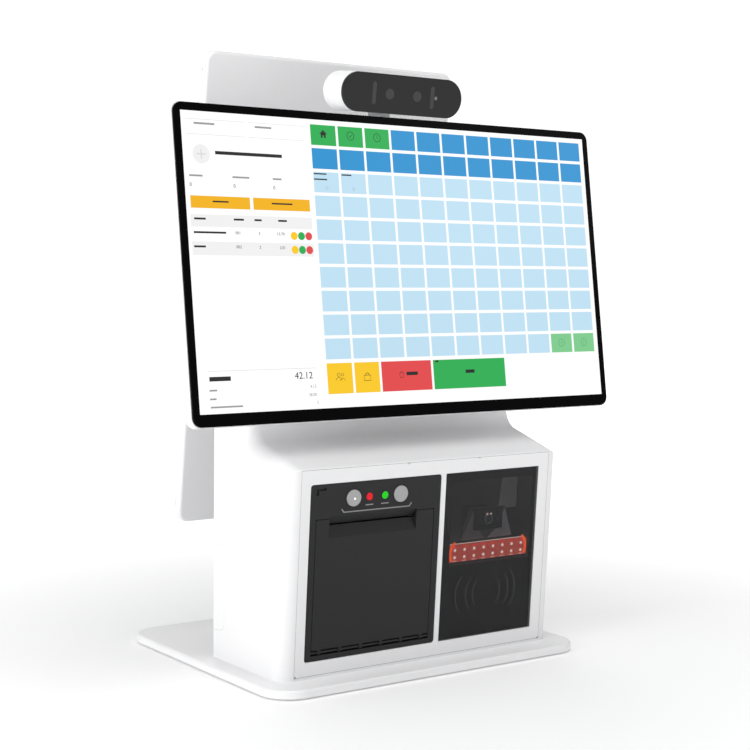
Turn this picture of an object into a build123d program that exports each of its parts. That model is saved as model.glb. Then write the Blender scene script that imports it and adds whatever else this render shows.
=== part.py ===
from build123d import *
from math import atan2, cos, degrees, pi, radians, sin, tan
import os

os.makedirs("parts", exist_ok=True)

# A countertop self checkout kiosk: a base plate, a pedestal with a receipt printer and a scanner
# in its front, a customer touch display, a portrait display facing back and a tilting camera.
# Millimetres. +Z is up and -Y faces the customer. The origin is on the counter, under the centre.

# ---------------------------------------------------------------- driving dimensions
# base
plate_width = 312.0
plate_depth = 252.0
plate_thickness = 6.3
plate_corner = 26.0
plate_edge = 1.2
pad_radius = 11.0
pad_proud = 1.5
pad_sunk = 1.0
pad_x = 128.0
pad_y = 98.0
plate_top = pad_proud + plate_thickness

# pedestal
body_half = 139.0
body_corner = 13.0
crease_radius = 1.2
wall = 3.0
lean = 3.34
face_foot_y = -100.0
crease_at = 173.9
shoulder_slope = 16.9
shoulder_run = 52.1
neck_arc = 18.0
neck_top_z = 216.5
column_front_y = -28.0
column_foot_z = 300.0
column_top_z = 352.0
column_half = 80.0
rear_y = 2.7
cover_seam_y = -14.7
cover_split_z = 103.0
cover_foot_z = 31.5
seam = 0.2

# front panel and its two openings, measured across and up the leaning face
panel_half = 126.0
panel_foot = 8.8
panel_head = 172.8
panel_thickness = 3.0
opening_mid = 90.6
opening_height = 141.6
printer_x = -53.4
printer_width = 128.0
scanner_x = 65.5
scanner_width = 100.4
set_in = 0.4
panel_gap = 0.4

# printer
door_width = 114.8
door_foot = 28.6
door_head = 133.0
door_gap = 0.5
skin = 2.8
slot_x = -56.0
slot_width = 85.0
hinge_at = (26.4, 2.0)
hinge_pin_radius = 1.2
platen_at = (119.0, 14.0)
platen_radius = 6.0
paper_width = 80.0
roll_at = (60.5, 36.0)
roll_radius = 26.0
core_radius = 8.5
gear_module = 0.8
platen_teeth = 18
drive_teeth = 24
pinion_teeth = 12
gear_width = 4.0
gear_x = -8.5
button_offset = 23.0
button_at = 148.2
button_radius = 6.7
button_travel = 1.2
led_offset = 7.6
led_radius = 3.1

# scanner
scan_x = 68.5
scan_window = (87.0, 71.0)
scan_window_mid = 117.5
engine_mid = 118.0
light_bar_mid = 91.2

# customer display: 18.5 inch panel behind a glass with a narrow border
main_tilt = 8.16
main_centre = (-74.93, 331.97)
main_glass_size = (421.8, 246.5)
main_glass_corner = 7.5
main_glass_thickness = 1.8
main_depth = 16.0
case_lip = 0.6
main_axis_depth = 36.0
bulge_size = (200.0, 150.0)
bulge_depth = 8.0

# rear display: 18 inch panel, portrait
rear_tilt = 6.77
rear_centre = (69.22, 309.05)
rear_case_size = (258.2, 403.7)
rear_case_corner = 10.0
rear_depth = 11.0
rear_axis_depth = 24.0
rear_axis_up = 17.0

# camera
camera_tilt = 6.48
camera_centre = (-64.32, 472.16)
camera_size = (122.1, 32.0)
camera_depth = 31.0
camera_axis_depth = 37.0

# hinges
ear_thickness = 4.0
ear_radius = 7.0
ear_gap = 1.0
hinge_half = 44.0
display_pin_radius = 4.0
running = 0.05

# ---------------------------------------------------------------- planes
# each plane faces the viewer of its panel, with its own x across and its own y up the panel
face = Plane(
    origin=(0, face_foot_y, pad_proud),
    x_dir=(1, 0, 0),
    z_dir=(0, -cos(radians(lean)), -sin(radians(lean))),
)
main_plane = Plane(
    origin=(0, *main_centre),
    x_dir=(1, 0, 0),
    z_dir=(0, -cos(radians(main_tilt)), sin(radians(main_tilt))),
)
rear_plane = Plane(
    origin=(0, *rear_centre),
    x_dir=(-1, 0, 0),
    z_dir=(0, cos(radians(rear_tilt)), sin(radians(rear_tilt))),
)
camera_plane = Plane(
    origin=(0, *camera_centre),
    x_dir=(1, 0, 0),
    z_dir=(0, -cos(radians(camera_tilt)), -sin(radians(camera_tilt))),
)


# ---------------------------------------------------------------- helpers
def slab(plane, size, thickness, at=(0, 0), start=0.0, corner=0.0, mode=Mode.ADD):
    """A flat block: its outer side is start behind the plane, and it is thickness deep."""
    with BuildSketch(plane.offset(-start - thickness)) as outline:
        with Locations(at):
            if corner:
                RectangleRounded(*size, corner)
            else:
                Rectangle(*size)
    extrude(outline.sketch, amount=thickness, mode=mode)


def disc(plane, radius, thickness, at=(0, 0), start=0.0, mode=Mode.ADD):
    """A round block, placed as a slab is."""
    with BuildSketch(plane.offset(-start - thickness)) as outline:
        with Locations(at):
            Circle(radius)
    extrude(outline.sketch, amount=thickness, mode=mode)


def brick(x, y, z, mode=Mode.ADD):
    """A box between two x, two y and two z values."""
    with Locations(((x[0] + x[1]) / 2, (y[0] + y[1]) / 2, (z[0] + z[1]) / 2)):
        Box(x[1] - x[0], y[1] - y[0], z[1] - z[0], mode=mode)


def point_behind(plane, up, depth):
    """The (y, z) of a point that is up the panel and depth behind it."""
    spot = plane.origin + plane.y_dir * up - plane.z_dir * depth
    return (spot.Y, spot.Z)


def rod(centre, radius, x, mode=Mode.ADD):
    """A cylinder along X, from x[0] to x[1], round the (y, z) centre."""
    with BuildSketch(Plane.YZ.offset(x[0])) as outline:
        with Locations(centre):
            Circle(radius)
    extrude(outline.sketch, amount=x[1] - x[0], mode=mode)


def prism(plane, points, x, mode=Mode.ADD):
    """An X prism whose outline is given as (up, depth) points of a panel."""
    with BuildSketch(Plane.YZ.offset(x[0])) as outline:
        with BuildLine():
            Polyline(*[point_behind(plane, up, depth) for up, depth in points], close=True)
        make_face()
    extrude(outline.sketch, amount=x[1] - x[0], mode=mode)


def ear(centre, foot, half_height, x):
    """A hinge ear: a rounded lug round the (y, z) centre, widening to a foot at a given y."""
    with BuildSketch(Plane.YZ.offset(x[0])) as outline:
        with Locations(centre):
            Circle(ear_radius)
        with BuildLine():
            Polyline(
                (centre[0], centre[1] + ear_radius),
                (foot, centre[1] + half_height),
                (foot, centre[1] - half_height),
                (centre[0], centre[1] - ear_radius),
                close=True,
            )
        make_face()
    extrude(outline.sketch, amount=x[1] - x[0])


def gear(centre, teeth, bore, first_tooth, x):
    """A spur gear along X round the (y, z) centre, with one tooth at the angle first_tooth."""
    pitch_radius = gear_module * teeth / 2
    root = pitch_radius - 1.25 * gear_module
    tip = pitch_radius + gear_module
    half_root = 0.70 * gear_module
    half_tip = 0.30 * gear_module
    with BuildSketch(Plane.YZ.offset(x[0])) as outline:
        with Locations(centre):
            Circle(root)
        for index in range(teeth):
            with Locations(Location((*centre, 0), (0, 0, first_tooth + index * 360 / teeth))):
                Polygon(
                    (root - 0.3, -half_root),
                    (tip, -half_tip),
                    (tip, half_tip),
                    (root - 0.3, half_root),
                    align=None,
                )
        with Locations(centre):
            Circle(bore, mode=Mode.SUBTRACT)
    extrude(outline.sketch, amount=x[1] - x[0])


def pedestal_form(inset):
    """The pedestal and column as one block, made smaller all round by inset."""
    rise = radians(shoulder_slope)
    foot = (face_foot_y - plate_thickness * tan(radians(lean)), plate_top)
    crease = point_behind(face, crease_at, 0)
    bend = (crease[0] + shoulder_run, crease[1] + shoulder_run * tan(rise))
    with BuildPart() as form:
        with BuildSketch(Plane.YZ):
            with BuildLine():
                Polyline(foot, crease, bend)
                sweep_up = JernArc(bend, (cos(rise), sin(rise)), neck_arc, 90 - shoulder_slope)
                Polyline(
                    sweep_up @ 1,
                    ((sweep_up @ 1).X, neck_top_z),
                    (column_front_y, column_foot_z),
                    (column_front_y, column_top_z),
                    (rear_y, column_top_z),
                    (rear_y, plate_top),
                    foot,
                )
            make_face()
            if inset:
                offset(amount=-inset, kind=Kind.INTERSECTION)
        extrude(amount=body_half - inset, both=True)
        sides = form.edges().filter_by(lambda e: abs(e.center().X) > body_half - inset - 0.5)
        front_sides = sides.filter_by(
            lambda e: e.center().Y < rear_y - inset - 5 and plate_top + 5 < e.center().Z < column_top_z - 7
        )
        fillet(front_sides, body_corner - inset)
        if not inset:
            crease_edge = form.edges().filter_by(Axis.X).sort_by(Axis.Y)
            crease_edge = crease_edge.filter_by(lambda e: abs(e.center().Z - crease[1]) < 1.0)
            fillet(crease_edge, crease_radius)
        with BuildSketch(Plane.XZ) as outline:
            with BuildLine():
                Polyline(
                    (-body_half, plate_top),
                    (-body_half, neck_top_z),
                    (-column_half, column_foot_z - 10),
                    (-column_half, column_top_z),
                    (column_half, column_top_z),
                    (column_half, column_foot_z - 10),
                    (body_half, neck_top_z),
                    (body_half, plate_top),
                    close=True,
                )
            make_face()
            fillet(outline.vertices().filter_by(lambda v: v.Y == neck_top_z), 40)
            fillet(outline.vertices().filter_by(lambda v: v.Y == column_foot_z - 10), 60)
            fillet(outline.vertices().group_by(Axis.Y)[-1], 18)
            if inset:
                offset(amount=-inset, kind=Kind.INTERSECTION)
        extrude(amount=plate_depth, both=True, mode=Mode.INTERSECT)
    return form.part


def farthest(piece, plane):
    """The face of a piece that lies farthest behind a panel."""
    return piece.faces().sort_by(Axis(plane.origin, -plane.z_dir))[-1]


def nearest(piece, plane):
    """The face of a piece that stands farthest out towards the panel's viewer."""
    return piece.faces().sort_by(Axis(plane.origin, -plane.z_dir))[0]


def save(piece, name):
    piece.part.label = name
    export_step(piece.part, f"parts/{name}.step")


# ---------------------------------------------------------------- base
post_screw_x = 38.0
shell_screw_x = 130.5
post_screws = [(x, y) for x in (-post_screw_x, post_screw_x) for y in (-46, -31)]
shell_screws = [(x, y) for x in (-shell_screw_x, shell_screw_x) for y in (-80, -40)]
post_screw_radius = 2.5
post_screw_head = 4.9
post_screw_length = 12.0
shell_screw_radius = 2.0
shell_screw_head = 3.9
shell_screw_length = 14.0
head_sunk = 0.3
head_clearance = 0.7
hole_clearance = 0.25
nut_radius = 4.6
nut_height = 4.0
pad_clearance = 0.3
pad_places = [(x, y) for x in (-pad_x, 0, pad_x) for y in (-pad_y, pad_y)]

with BuildPart() as base_plate:
    with BuildSketch(Plane.XY.offset(pad_proud)):
        RectangleRounded(plate_width, plate_depth, plate_corner)
    extrude(amount=plate_thickness)
    chamfer(base_plate.faces().sort_by(Axis.Z)[-1].edges(), plate_edge)
    with BuildSketch(Plane.XY.offset(pad_proud)):
        with Locations(*pad_places):
            Circle(pad_radius + pad_clearance)
    extrude(amount=pad_sunk, mode=Mode.SUBTRACT)
    with Locations(*[Location((x, y, pad_proud), (180, 0, 0)) for x, y in post_screws]):
        CounterSinkHole(post_screw_radius + hole_clearance, post_screw_head + head_clearance)
    with Locations(*[Location((x, y, pad_proud), (180, 0, 0)) for x, y in shell_screws]):
        CounterSinkHole(shell_screw_radius + hole_clearance, shell_screw_head + head_clearance)
save(base_plate, "base_plate")

with BuildPart() as foot_pads:
    with BuildSketch(Plane.XY):
        with Locations(*pad_places):
            Circle(pad_radius)
    extrude(amount=pad_proud + pad_sunk)
    chamfer(foot_pads.faces().group_by(Axis.Z)[0].edges(), 0.5)
save(foot_pads, "foot_pads")


def countersunk_screw(x, y, radius, head, length):
    """A screw with its flat head up inside the plate's underside."""
    with BuildSketch(Plane.XY.offset(pad_proud + head_sunk)) as wide:
        with Locations((x, y)):
            Circle(head)
    with BuildSketch(Plane.XY.offset(pad_proud + head_sunk + head - radius)) as narrow:
        with Locations((x, y)):
            Circle(radius)
    loft(sections=[wide.sketch.faces()[0], narrow.sketch.faces()[0]])
    with BuildSketch(Plane.XY.offset(pad_proud + head_sunk + head - radius)) as shank:
        with Locations((x, y)):
            Circle(radius)
    extrude(shank.sketch, amount=length)


with BuildPart() as base_screws:
    for x, y in post_screws:
        countersunk_screw(x, y, post_screw_radius, post_screw_head, post_screw_length)
        with BuildSketch(Plane.XY.offset(plate_top + panel_thickness)) as nut:
            with Locations((x, y)):
                RegularPolygon(nut_radius, 6)
        extrude(nut.sketch, amount=nut_height)
    for x, y in shell_screws:
        countersunk_screw(x, y, shell_screw_radius, shell_screw_head, shell_screw_length)
save(base_screws, "base_screws")

# ---------------------------------------------------------------- pedestal shells
# moulded plastic, three millimetres thick, screwed down to the plate
frame_tab = (10.0, 7.0)
frame_tab_rows = (30, 90, 150)
boss_radius = 5.8
boss_height = 16.0
bay_corner = 8.0
with BuildPart() as pedestal_shell:
    add(pedestal_form(0))
    add(pedestal_form(wall), mode=Mode.SUBTRACT)
    brick(
        (-body_half + wall, body_half - wall),
        (face_foot_y + 5, rear_y - wall),
        (plate_top, 40),
        Mode.SUBTRACT,
    )
    slab(
        face,
        (2 * (panel_half + seam), panel_head - panel_foot + 2 * seam),
        wall + 5,
        at=(0, (panel_head + panel_foot) / 2),
        start=-2,
        mode=Mode.SUBTRACT,
    )
    with BuildSketch(Plane.YZ.offset(-body_half - 1)) as rear_bay:
        with BuildLine():
            Polyline(
                (cover_seam_y, cover_foot_z),
                (cover_seam_y, column_top_z + 1),
                (rear_y + 1, column_top_z + 1),
                (rear_y + 1, cover_foot_z),
                close=True,
            )
        make_face()
        fillet(rear_bay.vertices().sort_by(Axis.Y)[0:2].sort_by(Axis.X)[0:1], bay_corner)
    extrude(rear_bay.sketch, amount=2 * body_half + 2, mode=Mode.SUBTRACT)
    for x, y in shell_screws:
        with BuildSketch(Plane.XY.offset(plate_top)) as boss:
            with Locations((x, y)):
                Circle(boss_radius)
                Circle(shell_screw_radius + 0.05, mode=Mode.SUBTRACT)
        extrude(boss.sketch, amount=boss_height)
    # tabs behind the edge of the front panel
    for side in (-1, 1):
        for up in frame_tab_rows:
            slab(face, frame_tab, wall, at=(side * (panel_half + 1.5), up), start=wall + 0.05)
save(pedestal_shell, "pedestal_shell")

# the panel round the two openings, with a snap notch each side of the divider
divider_x = (printer_x + printer_width / 2 + scanner_x - scanner_width / 2) / 2
with BuildPart() as front_frame:
    slab(
        face,
        (2 * panel_half, panel_head - panel_foot),
        panel_thickness,
        at=(0, (panel_head + panel_foot) / 2),
    )
    slab(
        face,
        (printer_width, opening_height),
        panel_thickness,
        at=(printer_x, opening_mid),
        corner=2.5,
        mode=Mode.SUBTRACT,
    )
    slab(
        face,
        (scanner_width, opening_height),
        panel_thickness,
        at=(scanner_x, opening_mid),
        mode=Mode.SUBTRACT,
    )
    for side in (-1, 1):
        slab(face, (3.2, 1.6), 1.2, at=(divider_x + side * 36.7, panel_head), mode=Mode.SUBTRACT)
        disc(face, 1.0, 1.0, at=(side * (panel_half - 0.8), panel_foot + 0.2), mode=Mode.SUBTRACT)
save(front_frame, "front_frame")

with BuildPart() as upper_rear_cover:
    add(pedestal_form(0))
    add(pedestal_form(wall), mode=Mode.SUBTRACT)
    brick(
        (-body_half, body_half),
        (cover_seam_y + seam, rear_y),
        (cover_split_z + seam / 2, column_top_z),
        Mode.INTERSECT,
    )
save(upper_rear_cover, "upper_rear_cover")

# the lower cover pulls off backwards and has a slot at its foot for the cables
cable_slot = (46.0, 12.0)
with BuildPart() as cable_cover:
    add(pedestal_form(0))
    add(pedestal_form(wall), mode=Mode.SUBTRACT)
    brick(
        (-body_half, body_half),
        (cover_seam_y + seam, rear_y),
        (cover_foot_z + seam, cover_split_z - seam / 2),
        Mode.INTERSECT,
    )
    brick(
        (-body_half + wall, body_half - wall),
        (cover_seam_y + seam, rear_y - wall),
        (cover_foot_z + seam, cover_foot_z + seam + wall),
    )
    brick(
        (-cable_slot[0] / 2, cable_slot[0] / 2),
        (cover_seam_y, rear_y + 1),
        (cover_foot_z, cover_foot_z + cable_slot[1]),
        Mode.SUBTRACT,
    )
    with BuildSketch(Plane.YZ.offset(-body_half - 1)) as corner_cut:
        with BuildLine():
            Polyline(
                (cover_seam_y - 1, cover_foot_z - 1),
                (cover_seam_y - 1, cover_foot_z + bay_corner),
                (cover_seam_y + seam, cover_foot_z + bay_corner),
            )
            RadiusArc(
                (cover_seam_y + seam, cover_foot_z + bay_corner),
                (cover_seam_y + bay_corner, cover_foot_z + seam),
                -(bay_corner - seam),
            )
            Polyline(
                (cover_seam_y + bay_corner, cover_foot_z + seam),
                (cover_seam_y + bay_corner, cover_foot_z - 1),
                (cover_seam_y - 1, cover_foot_z - 1),
            )
        make_face()
    extrude(corner_cut.sketch, amount=2 * body_half + 2, mode=Mode.SUBTRACT)
save(cable_cover, "cable_cover")

# ---------------------------------------------------------------- steel inside
sheet = 2.5
post_half = 50.0
post_front_y = -24.5
post_foot_y = -54.0
flange_back_y = -3.0
block_foot_z = 296.0
window = ((2.0, 48.0), (34.0, 92.0))
with BuildPart() as steel_post:
    brick((-post_half, post_half), (post_front_y, post_front_y + sheet), (plate_top, block_foot_z))
    post_foot_z = (plate_top, plate_top + panel_thickness)
    brick((-post_half, post_half), (post_foot_y, post_front_y + sheet), post_foot_z)
    brick((-post_half, post_half), (post_front_y, flange_back_y), (block_foot_z - sheet, block_foot_z))
    for side in (-1, 1):
        x = sorted((side * post_half, side * (post_half - sheet)))
        brick(x, (post_front_y, flange_back_y), (cover_split_z + 3, block_foot_z))
    brick(window[0], (post_front_y, post_front_y + sheet), window[1], Mode.SUBTRACT)
    with BuildSketch(Plane.XY.offset(plate_top)) as holes:
        with Locations(*post_screws):
            Circle(post_screw_radius + hole_clearance)
    extrude(holes.sketch, amount=panel_thickness, mode=Mode.SUBTRACT)
save(steel_post, "steel_post")

block_wall = 4.0
block_y = (column_front_y + wall, rear_y - wall)
block_z = (block_foot_z, column_top_z - wall - 0.3)
with BuildPart() as hinge_block:
    brick((-post_half, post_half), block_y, block_z)
    brick(
        (-post_half - 1, post_half + 1),
        (block_y[0] + block_wall, block_y[1] - block_wall),
        (block_z[0] + block_wall, block_z[1] - block_wall),
        Mode.SUBTRACT,
    )
save(hinge_block, "hinge_block")

# connector plate behind the cable cover, its sockets, and the board that carries them
plate_y = post_front_y + sheet
usb = (14.4, 7.0)
network = (16.0, 13.4)
video = (15.2, 5.6)
ports = [((12.0, 44.0), usb), ((12.0, 56.0), usb), ((31.0, 47.5), network), ((31.0, 66.0), video)]
inlet_at = (-70.0, 52.0)
inlet_radius = 7.0
inlet_bore = 4.6
inlet_reach = 10.0
inlet_pin_radius = 0.7
inlet_pin_length = 4.0
io_half = 134.0
io_thickness = 1.5
io_z = (12.0, 101.0)
port_clearance = 0.3
with BuildPart() as io_panel:
    brick((-io_half, io_half), (plate_y, plate_y + io_thickness), io_z)
    for (x, z), (width, height) in ports:
        brick(
            (x - width / 2 - port_clearance, x + width / 2 + port_clearance),
            (plate_y - 1, plate_y + 2),
            (z - height / 2 - port_clearance, z + height / 2 + port_clearance),
            Mode.SUBTRACT,
        )
    with BuildSketch(Plane.XZ.offset(-plate_y - 2)) as inlet_hole:
        with Locations(inlet_at):
            Circle(inlet_radius + 0.1)
    extrude(inlet_hole.sketch, amount=3, mode=Mode.SUBTRACT)
save(io_panel, "io_panel")

board_y = -30.0
board_thickness = 1.6
with BuildPart() as io_ports:
    for (x, z), (width, height) in ports:
        brick(
            (x - width / 2, x + width / 2),
            (board_y + board_thickness, plate_y + 3),
            (z - height / 2, z + height / 2),
        )
        brick(
            (x - width / 2 + 1, x + width / 2 - 1),
            (plate_y - 6, plate_y + 4),
            (z - height / 2 + 1, z + height / 2 - 1),
            Mode.SUBTRACT,
        )
save(io_ports, "io_ports")

with BuildPart() as power_inlet:
    with BuildSketch(Plane.XZ.offset(-plate_y - io_thickness)) as flange:
        with Locations(inlet_at):
            Circle(inlet_radius + 2)
    extrude(flange.sketch, amount=-io_thickness)
    with BuildSketch(Plane.XZ.offset(-plate_y - io_thickness)) as barrel:
        with Locations(inlet_at):
            Circle(inlet_radius)
    extrude(barrel.sketch, amount=inlet_reach)
    with BuildSketch(Plane.XZ.offset(-plate_y - 2 * io_thickness)) as mouth:
        with Locations(inlet_at):
            Circle(inlet_bore)
    extrude(mouth.sketch, amount=inlet_reach - 1, mode=Mode.SUBTRACT)
    with BuildSketch(Plane.XZ.offset(-plate_y - 2 * io_thickness + inlet_reach - 1)) as contacts:
        with Locations(inlet_at):
            with PolarLocations(2.4, 3):
                Circle(inlet_pin_radius)
    extrude(contacts.sketch, amount=-inlet_pin_length)
save(power_inlet, "power_inlet")

# centre x and z, width, height and depth of what stands on the main board
board_parts = (
    (48, 70, 24, 24, 6.0),
    (78, 72, 14, 14, 1.6),
    (78, 50, 14, 14, 1.6),
    (48, 40, 12, 12, 2.0),
    (98, 60, 8, 30, 5.0),
    (20, 84, 22, 6, 5.0),
)
board_x = (1.0, 112.0)
board_z = (18.0, 98.0)
with BuildPart() as main_board:
    brick(board_x, (board_y, board_y + board_thickness), board_z)
    for x, z, width, height, depth in board_parts:
        brick((x - width / 2, x + width / 2), (board_y - depth, board_y), (z - height / 2, z + height / 2))
save(main_board, "main_board")

supply_x = (24.0, 118.0)
supply_y = (-90.0, -56.0)
supply_top = 40.0
with BuildPart() as power_supply:
    brick(supply_x, supply_y, (plate_top, supply_top))
    chamfer(power_supply.edges().filter_by(Axis.Z), 2)
    with BuildSketch(Plane.XY.offset(supply_top)) as vents:
        with Locations((sum(supply_x) / 2, sum(supply_y) / 2)):
            with GridLocations(9, 9, 9, 3):
                SlotOverall(7, 2.4)
    extrude(vents.sketch, amount=-1.0, mode=Mode.SUBTRACT)
save(power_supply, "power_supply")

# ---------------------------------------------------------------- receipt printer
fascia_size = (printer_width - 2 * panel_gap, opening_height - 2 * panel_gap)
fascia_back = set_in + skin + 0.2
door_x = (printer_x - door_width / 2, printer_x + door_width / 2)
slot_left = slot_x - slot_width / 2
slot_right = slot_x + slot_width / 2
lip_top = 135.0
door_bay_foot = 24.2
lip_gap = 0.3
slot_up = 127.7
door_lip_foot = 117.7
ears_x = (slot_x - paper_width / 2 - 4.5, slot_x + paper_width / 2 + 1.5)
button_x = (printer_x - button_offset, printer_x + button_offset)
led_x = (printer_x - led_offset, printer_x + led_offset)
pin_centre = point_behind(face, *hinge_at)
platen_centre = point_behind(face, *platen_at)

# blocks at the door's sides hold the hinge pin and carry the printer's body
fascia_blocks = ((-115.8, door_x[0] - door_gap), (door_x[1] + door_gap, 8.6))
tie_low = 67.0
tie_low_height = 40.0
tie_high = 147.0
tie_high_height = 14.0
tie_depth = 21.0
tie_rows = ((tie_low, tie_low_height), (tie_high, tie_high_height))
hinge_block_height = 8.0
hinge_block_depth = 4.5
sill_x = (fascia_blocks[0][0] + fascia_blocks[1][1]) / 2
sill_size = (fascia_blocks[1][1] - fascia_blocks[0][0], 10.0)
sill_up = 25.5
sill_start = 5.0
sill_thickness = 1.6

with BuildPart() as printer_fascia:
    slab(face, fascia_size, fascia_back - set_in, at=(printer_x, opening_mid), start=set_in, corner=2.1)
    slab(
        face,
        (door_width + 2 * door_gap, door_head + door_gap - door_bay_foot),
        fascia_back,
        at=(printer_x, (door_head + door_gap + door_bay_foot) / 2),
        mode=Mode.SUBTRACT,
    )
    slab(
        face,
        (slot_width, lip_top - door_head + 1),
        fascia_back,
        at=(slot_x, (lip_top + door_head - 1) / 2),
        mode=Mode.SUBTRACT,
    )
    prism(
        face,
        [
            (lip_top + 0.01, set_in),
            (lip_top + 2, set_in + skin),
            (lip_top + 1, 7.5),
            (slot_up + 0.7, 7.5),
            (slot_up + 0.7, 5.0),
        ],
        (slot_left + lip_gap, slot_right - lip_gap),
    )
    for x in button_x:
        disc(face, button_radius + 0.3, fascia_back, at=(x, button_at), mode=Mode.SUBTRACT)
    for x in led_x:
        disc(face, led_radius + 0.05, fascia_back, at=(x, button_at), mode=Mode.SUBTRACT)
    # the small release slot in the upper corner
    slab(face, (9, 2.2), 1.2, at=(door_x[0] + 3.5, 157.2), start=set_in, mode=Mode.SUBTRACT)
    slab(face, (2.2, 6), 1.2, at=(door_x[0] + 0.1, 155.4), start=set_in, mode=Mode.SUBTRACT)
    for x in fascia_blocks:
        middle = (x[0] + x[1]) / 2
        block_start = fascia_back - 0.4
        hinge_block_size = (x[1] - x[0], hinge_block_height)
        slab(face, hinge_block_size, hinge_block_depth, at=(middle, hinge_at[0]), start=block_start)
        for up, height in tie_rows:
            slab(face, (x[1] - x[0], height), tie_depth, at=(middle, up), start=block_start)
    # a wall behind the gap under the door, clear of the knuckles
    slab(face, sill_size, sill_thickness, at=(sill_x, sill_up), start=sill_start)
    rod(pin_centre, hinge_pin_radius, (door_x[0] - 3.2, door_x[1] + 3.2), Mode.SUBTRACT)
save(printer_fascia, "printer_fascia")

knuckle_radius = 2.0
knuckles = 6
knuckle_pitch = 20.0
with BuildPart() as printer_door:
    slab(
        face,
        (door_width, door_head - door_foot),
        skin,
        at=(printer_x, (door_head + door_foot) / 2),
        start=set_in,
        corner=0.8,
    )
    slab(
        face,
        (slot_width, door_head - door_lip_foot + 1),
        fascia_back,
        at=(slot_x, (door_head + door_lip_foot + 1) / 2),
        mode=Mode.SUBTRACT,
    )
    prism(
        face,
        [
            (door_lip_foot - 0.01, set_in),
            (slot_up - 0.5, 4.2),
            (slot_up - 0.5, 6.5),
            (door_lip_foot, 6.0),
            (door_lip_foot - 2, set_in + skin),
        ],
        (slot_left, slot_right),
    )
    for x in ((door_x[0] + 0.5, door_x[0] + 2.5), (door_x[1] - 2.5, door_x[1] - 0.5)):
        slab(face, (x[1] - x[0], 92), 11, at=((x[0] + x[1]) / 2, 80), start=set_in + skin - 0.2)
    ear_start = set_in + skin - 0.2
    for x in ears_x:
        slab(face, (3, 14), platen_at[1] + 5 - ear_start, at=(x + 1.5, 117), start=ear_start)
    for index in range(knuckles):
        x = printer_x + (index - (knuckles - 1) / 2) * knuckle_pitch
        rod(pin_centre, knuckle_radius, (x - 1.5, x + 1.5))
        slab(face, (3, 3), skin, at=(x, door_foot - 0.6), start=set_in)
    rod(platen_centre, 2 + running, (ears_x[0] - 1, ears_x[1] + 4), Mode.SUBTRACT)
    rod(pin_centre, hinge_pin_radius + running, (door_x[0], door_x[1]), Mode.SUBTRACT)
save(printer_door, "printer_door")

with BuildPart() as door_hinge_pin:
    rod(pin_centre, hinge_pin_radius, (door_x[0] - 3.2, door_x[1] + 3.2))
save(door_hinge_pin, "door_hinge_pin")

# the moulded body: a bucket for the roll below and two cheeks for the mechanism above
cheek_x = (slot_x - 45, slot_x + 45)
body_back = 66.0
deck_up = 157.0
roll_centre = point_behind(face, *roll_at)
drive_reach = gear_module * (platen_teeth + drive_teeth) / 2
pull = atan2(platen_at[0] - hinge_at[0], platen_at[1] - hinge_at[1])
drive_at = (platen_at[0] - drive_reach * cos(pull), platen_at[1] + drive_reach * sin(pull))
pinion_reach = gear_module * (drive_teeth + pinion_teeth) / 2
pinion_at = (drive_at[0] + pinion_reach * sin(pi / 4), drive_at[1] + pinion_reach * cos(pi / 4))
drive_centre = point_behind(face, *drive_at)
pinion_centre = point_behind(face, *pinion_at)
axle_radius = 2.0

with BuildPart() as printer_body:
    for x in (cheek_x[0], cheek_x[1] - wall):
        slab(face, (wall, 74), body_back - 16, at=(x + wall / 2, 67), start=16)
        slab(face, (wall, deck_up - 104), body_back - 24, at=(x + wall / 2, (deck_up + 104) / 2), start=24)
    slab(face, (90, deck_up - 30), wall, at=(slot_x, (deck_up + 30) / 2), start=body_back - wall)
    slab(face, (90, wall), body_back - 16, at=(slot_x, 30 + wall / 2), start=16)
    slab(face, (90, wall), body_back - 24, at=(slot_x, deck_up - wall / 2), start=24)
    slab(face, (90, 14), body_back - 16, at=(slot_x, 38), start=16)
    rod(roll_centre, roll_radius + 0.6, (cheek_x[0] + wall, cheek_x[1] - wall), Mode.SUBTRACT)
    for x in ((fascia_blocks[0][0], cheek_x[0] + 1), (cheek_x[1] - 1, fascia_blocks[1][1])):
        for up, height in tie_rows:
            slab(face, (x[1] - x[0], height), wall, at=((x[0] + x[1]) / 2, up), start=24)
    rod(drive_centre, axle_radius, (cheek_x[1] - 1, gear_x + gear_width + 0.6))
    rod(pinion_centre, axle_radius + 0.3, (cheek_x[1] - wall - 1, cheek_x[1] + 1), Mode.SUBTRACT)
save(printer_body, "printer_body")

paper_x = (slot_x - paper_width / 2, slot_x + paper_width / 2)
with BuildPart() as paper_roll:
    rod(roll_centre, roll_radius, paper_x)
    rod(roll_centre, core_radius, paper_x, Mode.SUBTRACT)
save(paper_roll, "paper_roll")

with BuildPart() as roll_core:
    rod(roll_centre, core_radius, paper_x)
    rod(roll_centre, core_radius - 2, paper_x, Mode.SUBTRACT)
save(roll_core, "roll_core")

with BuildPart() as platen_roller:
    rod(platen_centre, platen_radius, (paper_x[0] - 1, paper_x[1] + 1))
    rod(platen_centre, axle_radius, (paper_x[0] - 1, paper_x[1] + 1), Mode.SUBTRACT)
save(platen_roller, "platen_roller")

with BuildPart() as platen_shaft:
    rod(platen_centre, axle_radius, (ears_x[0] - 1.5, gear_x + gear_width + 0.4))
save(platen_shaft, "platen_shaft")


def angle_between(start, end):
    """The direction from one (y, z) centre to another, in degrees."""
    return degrees(atan2(end[1] - start[1], end[0] - start[0]))


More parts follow.
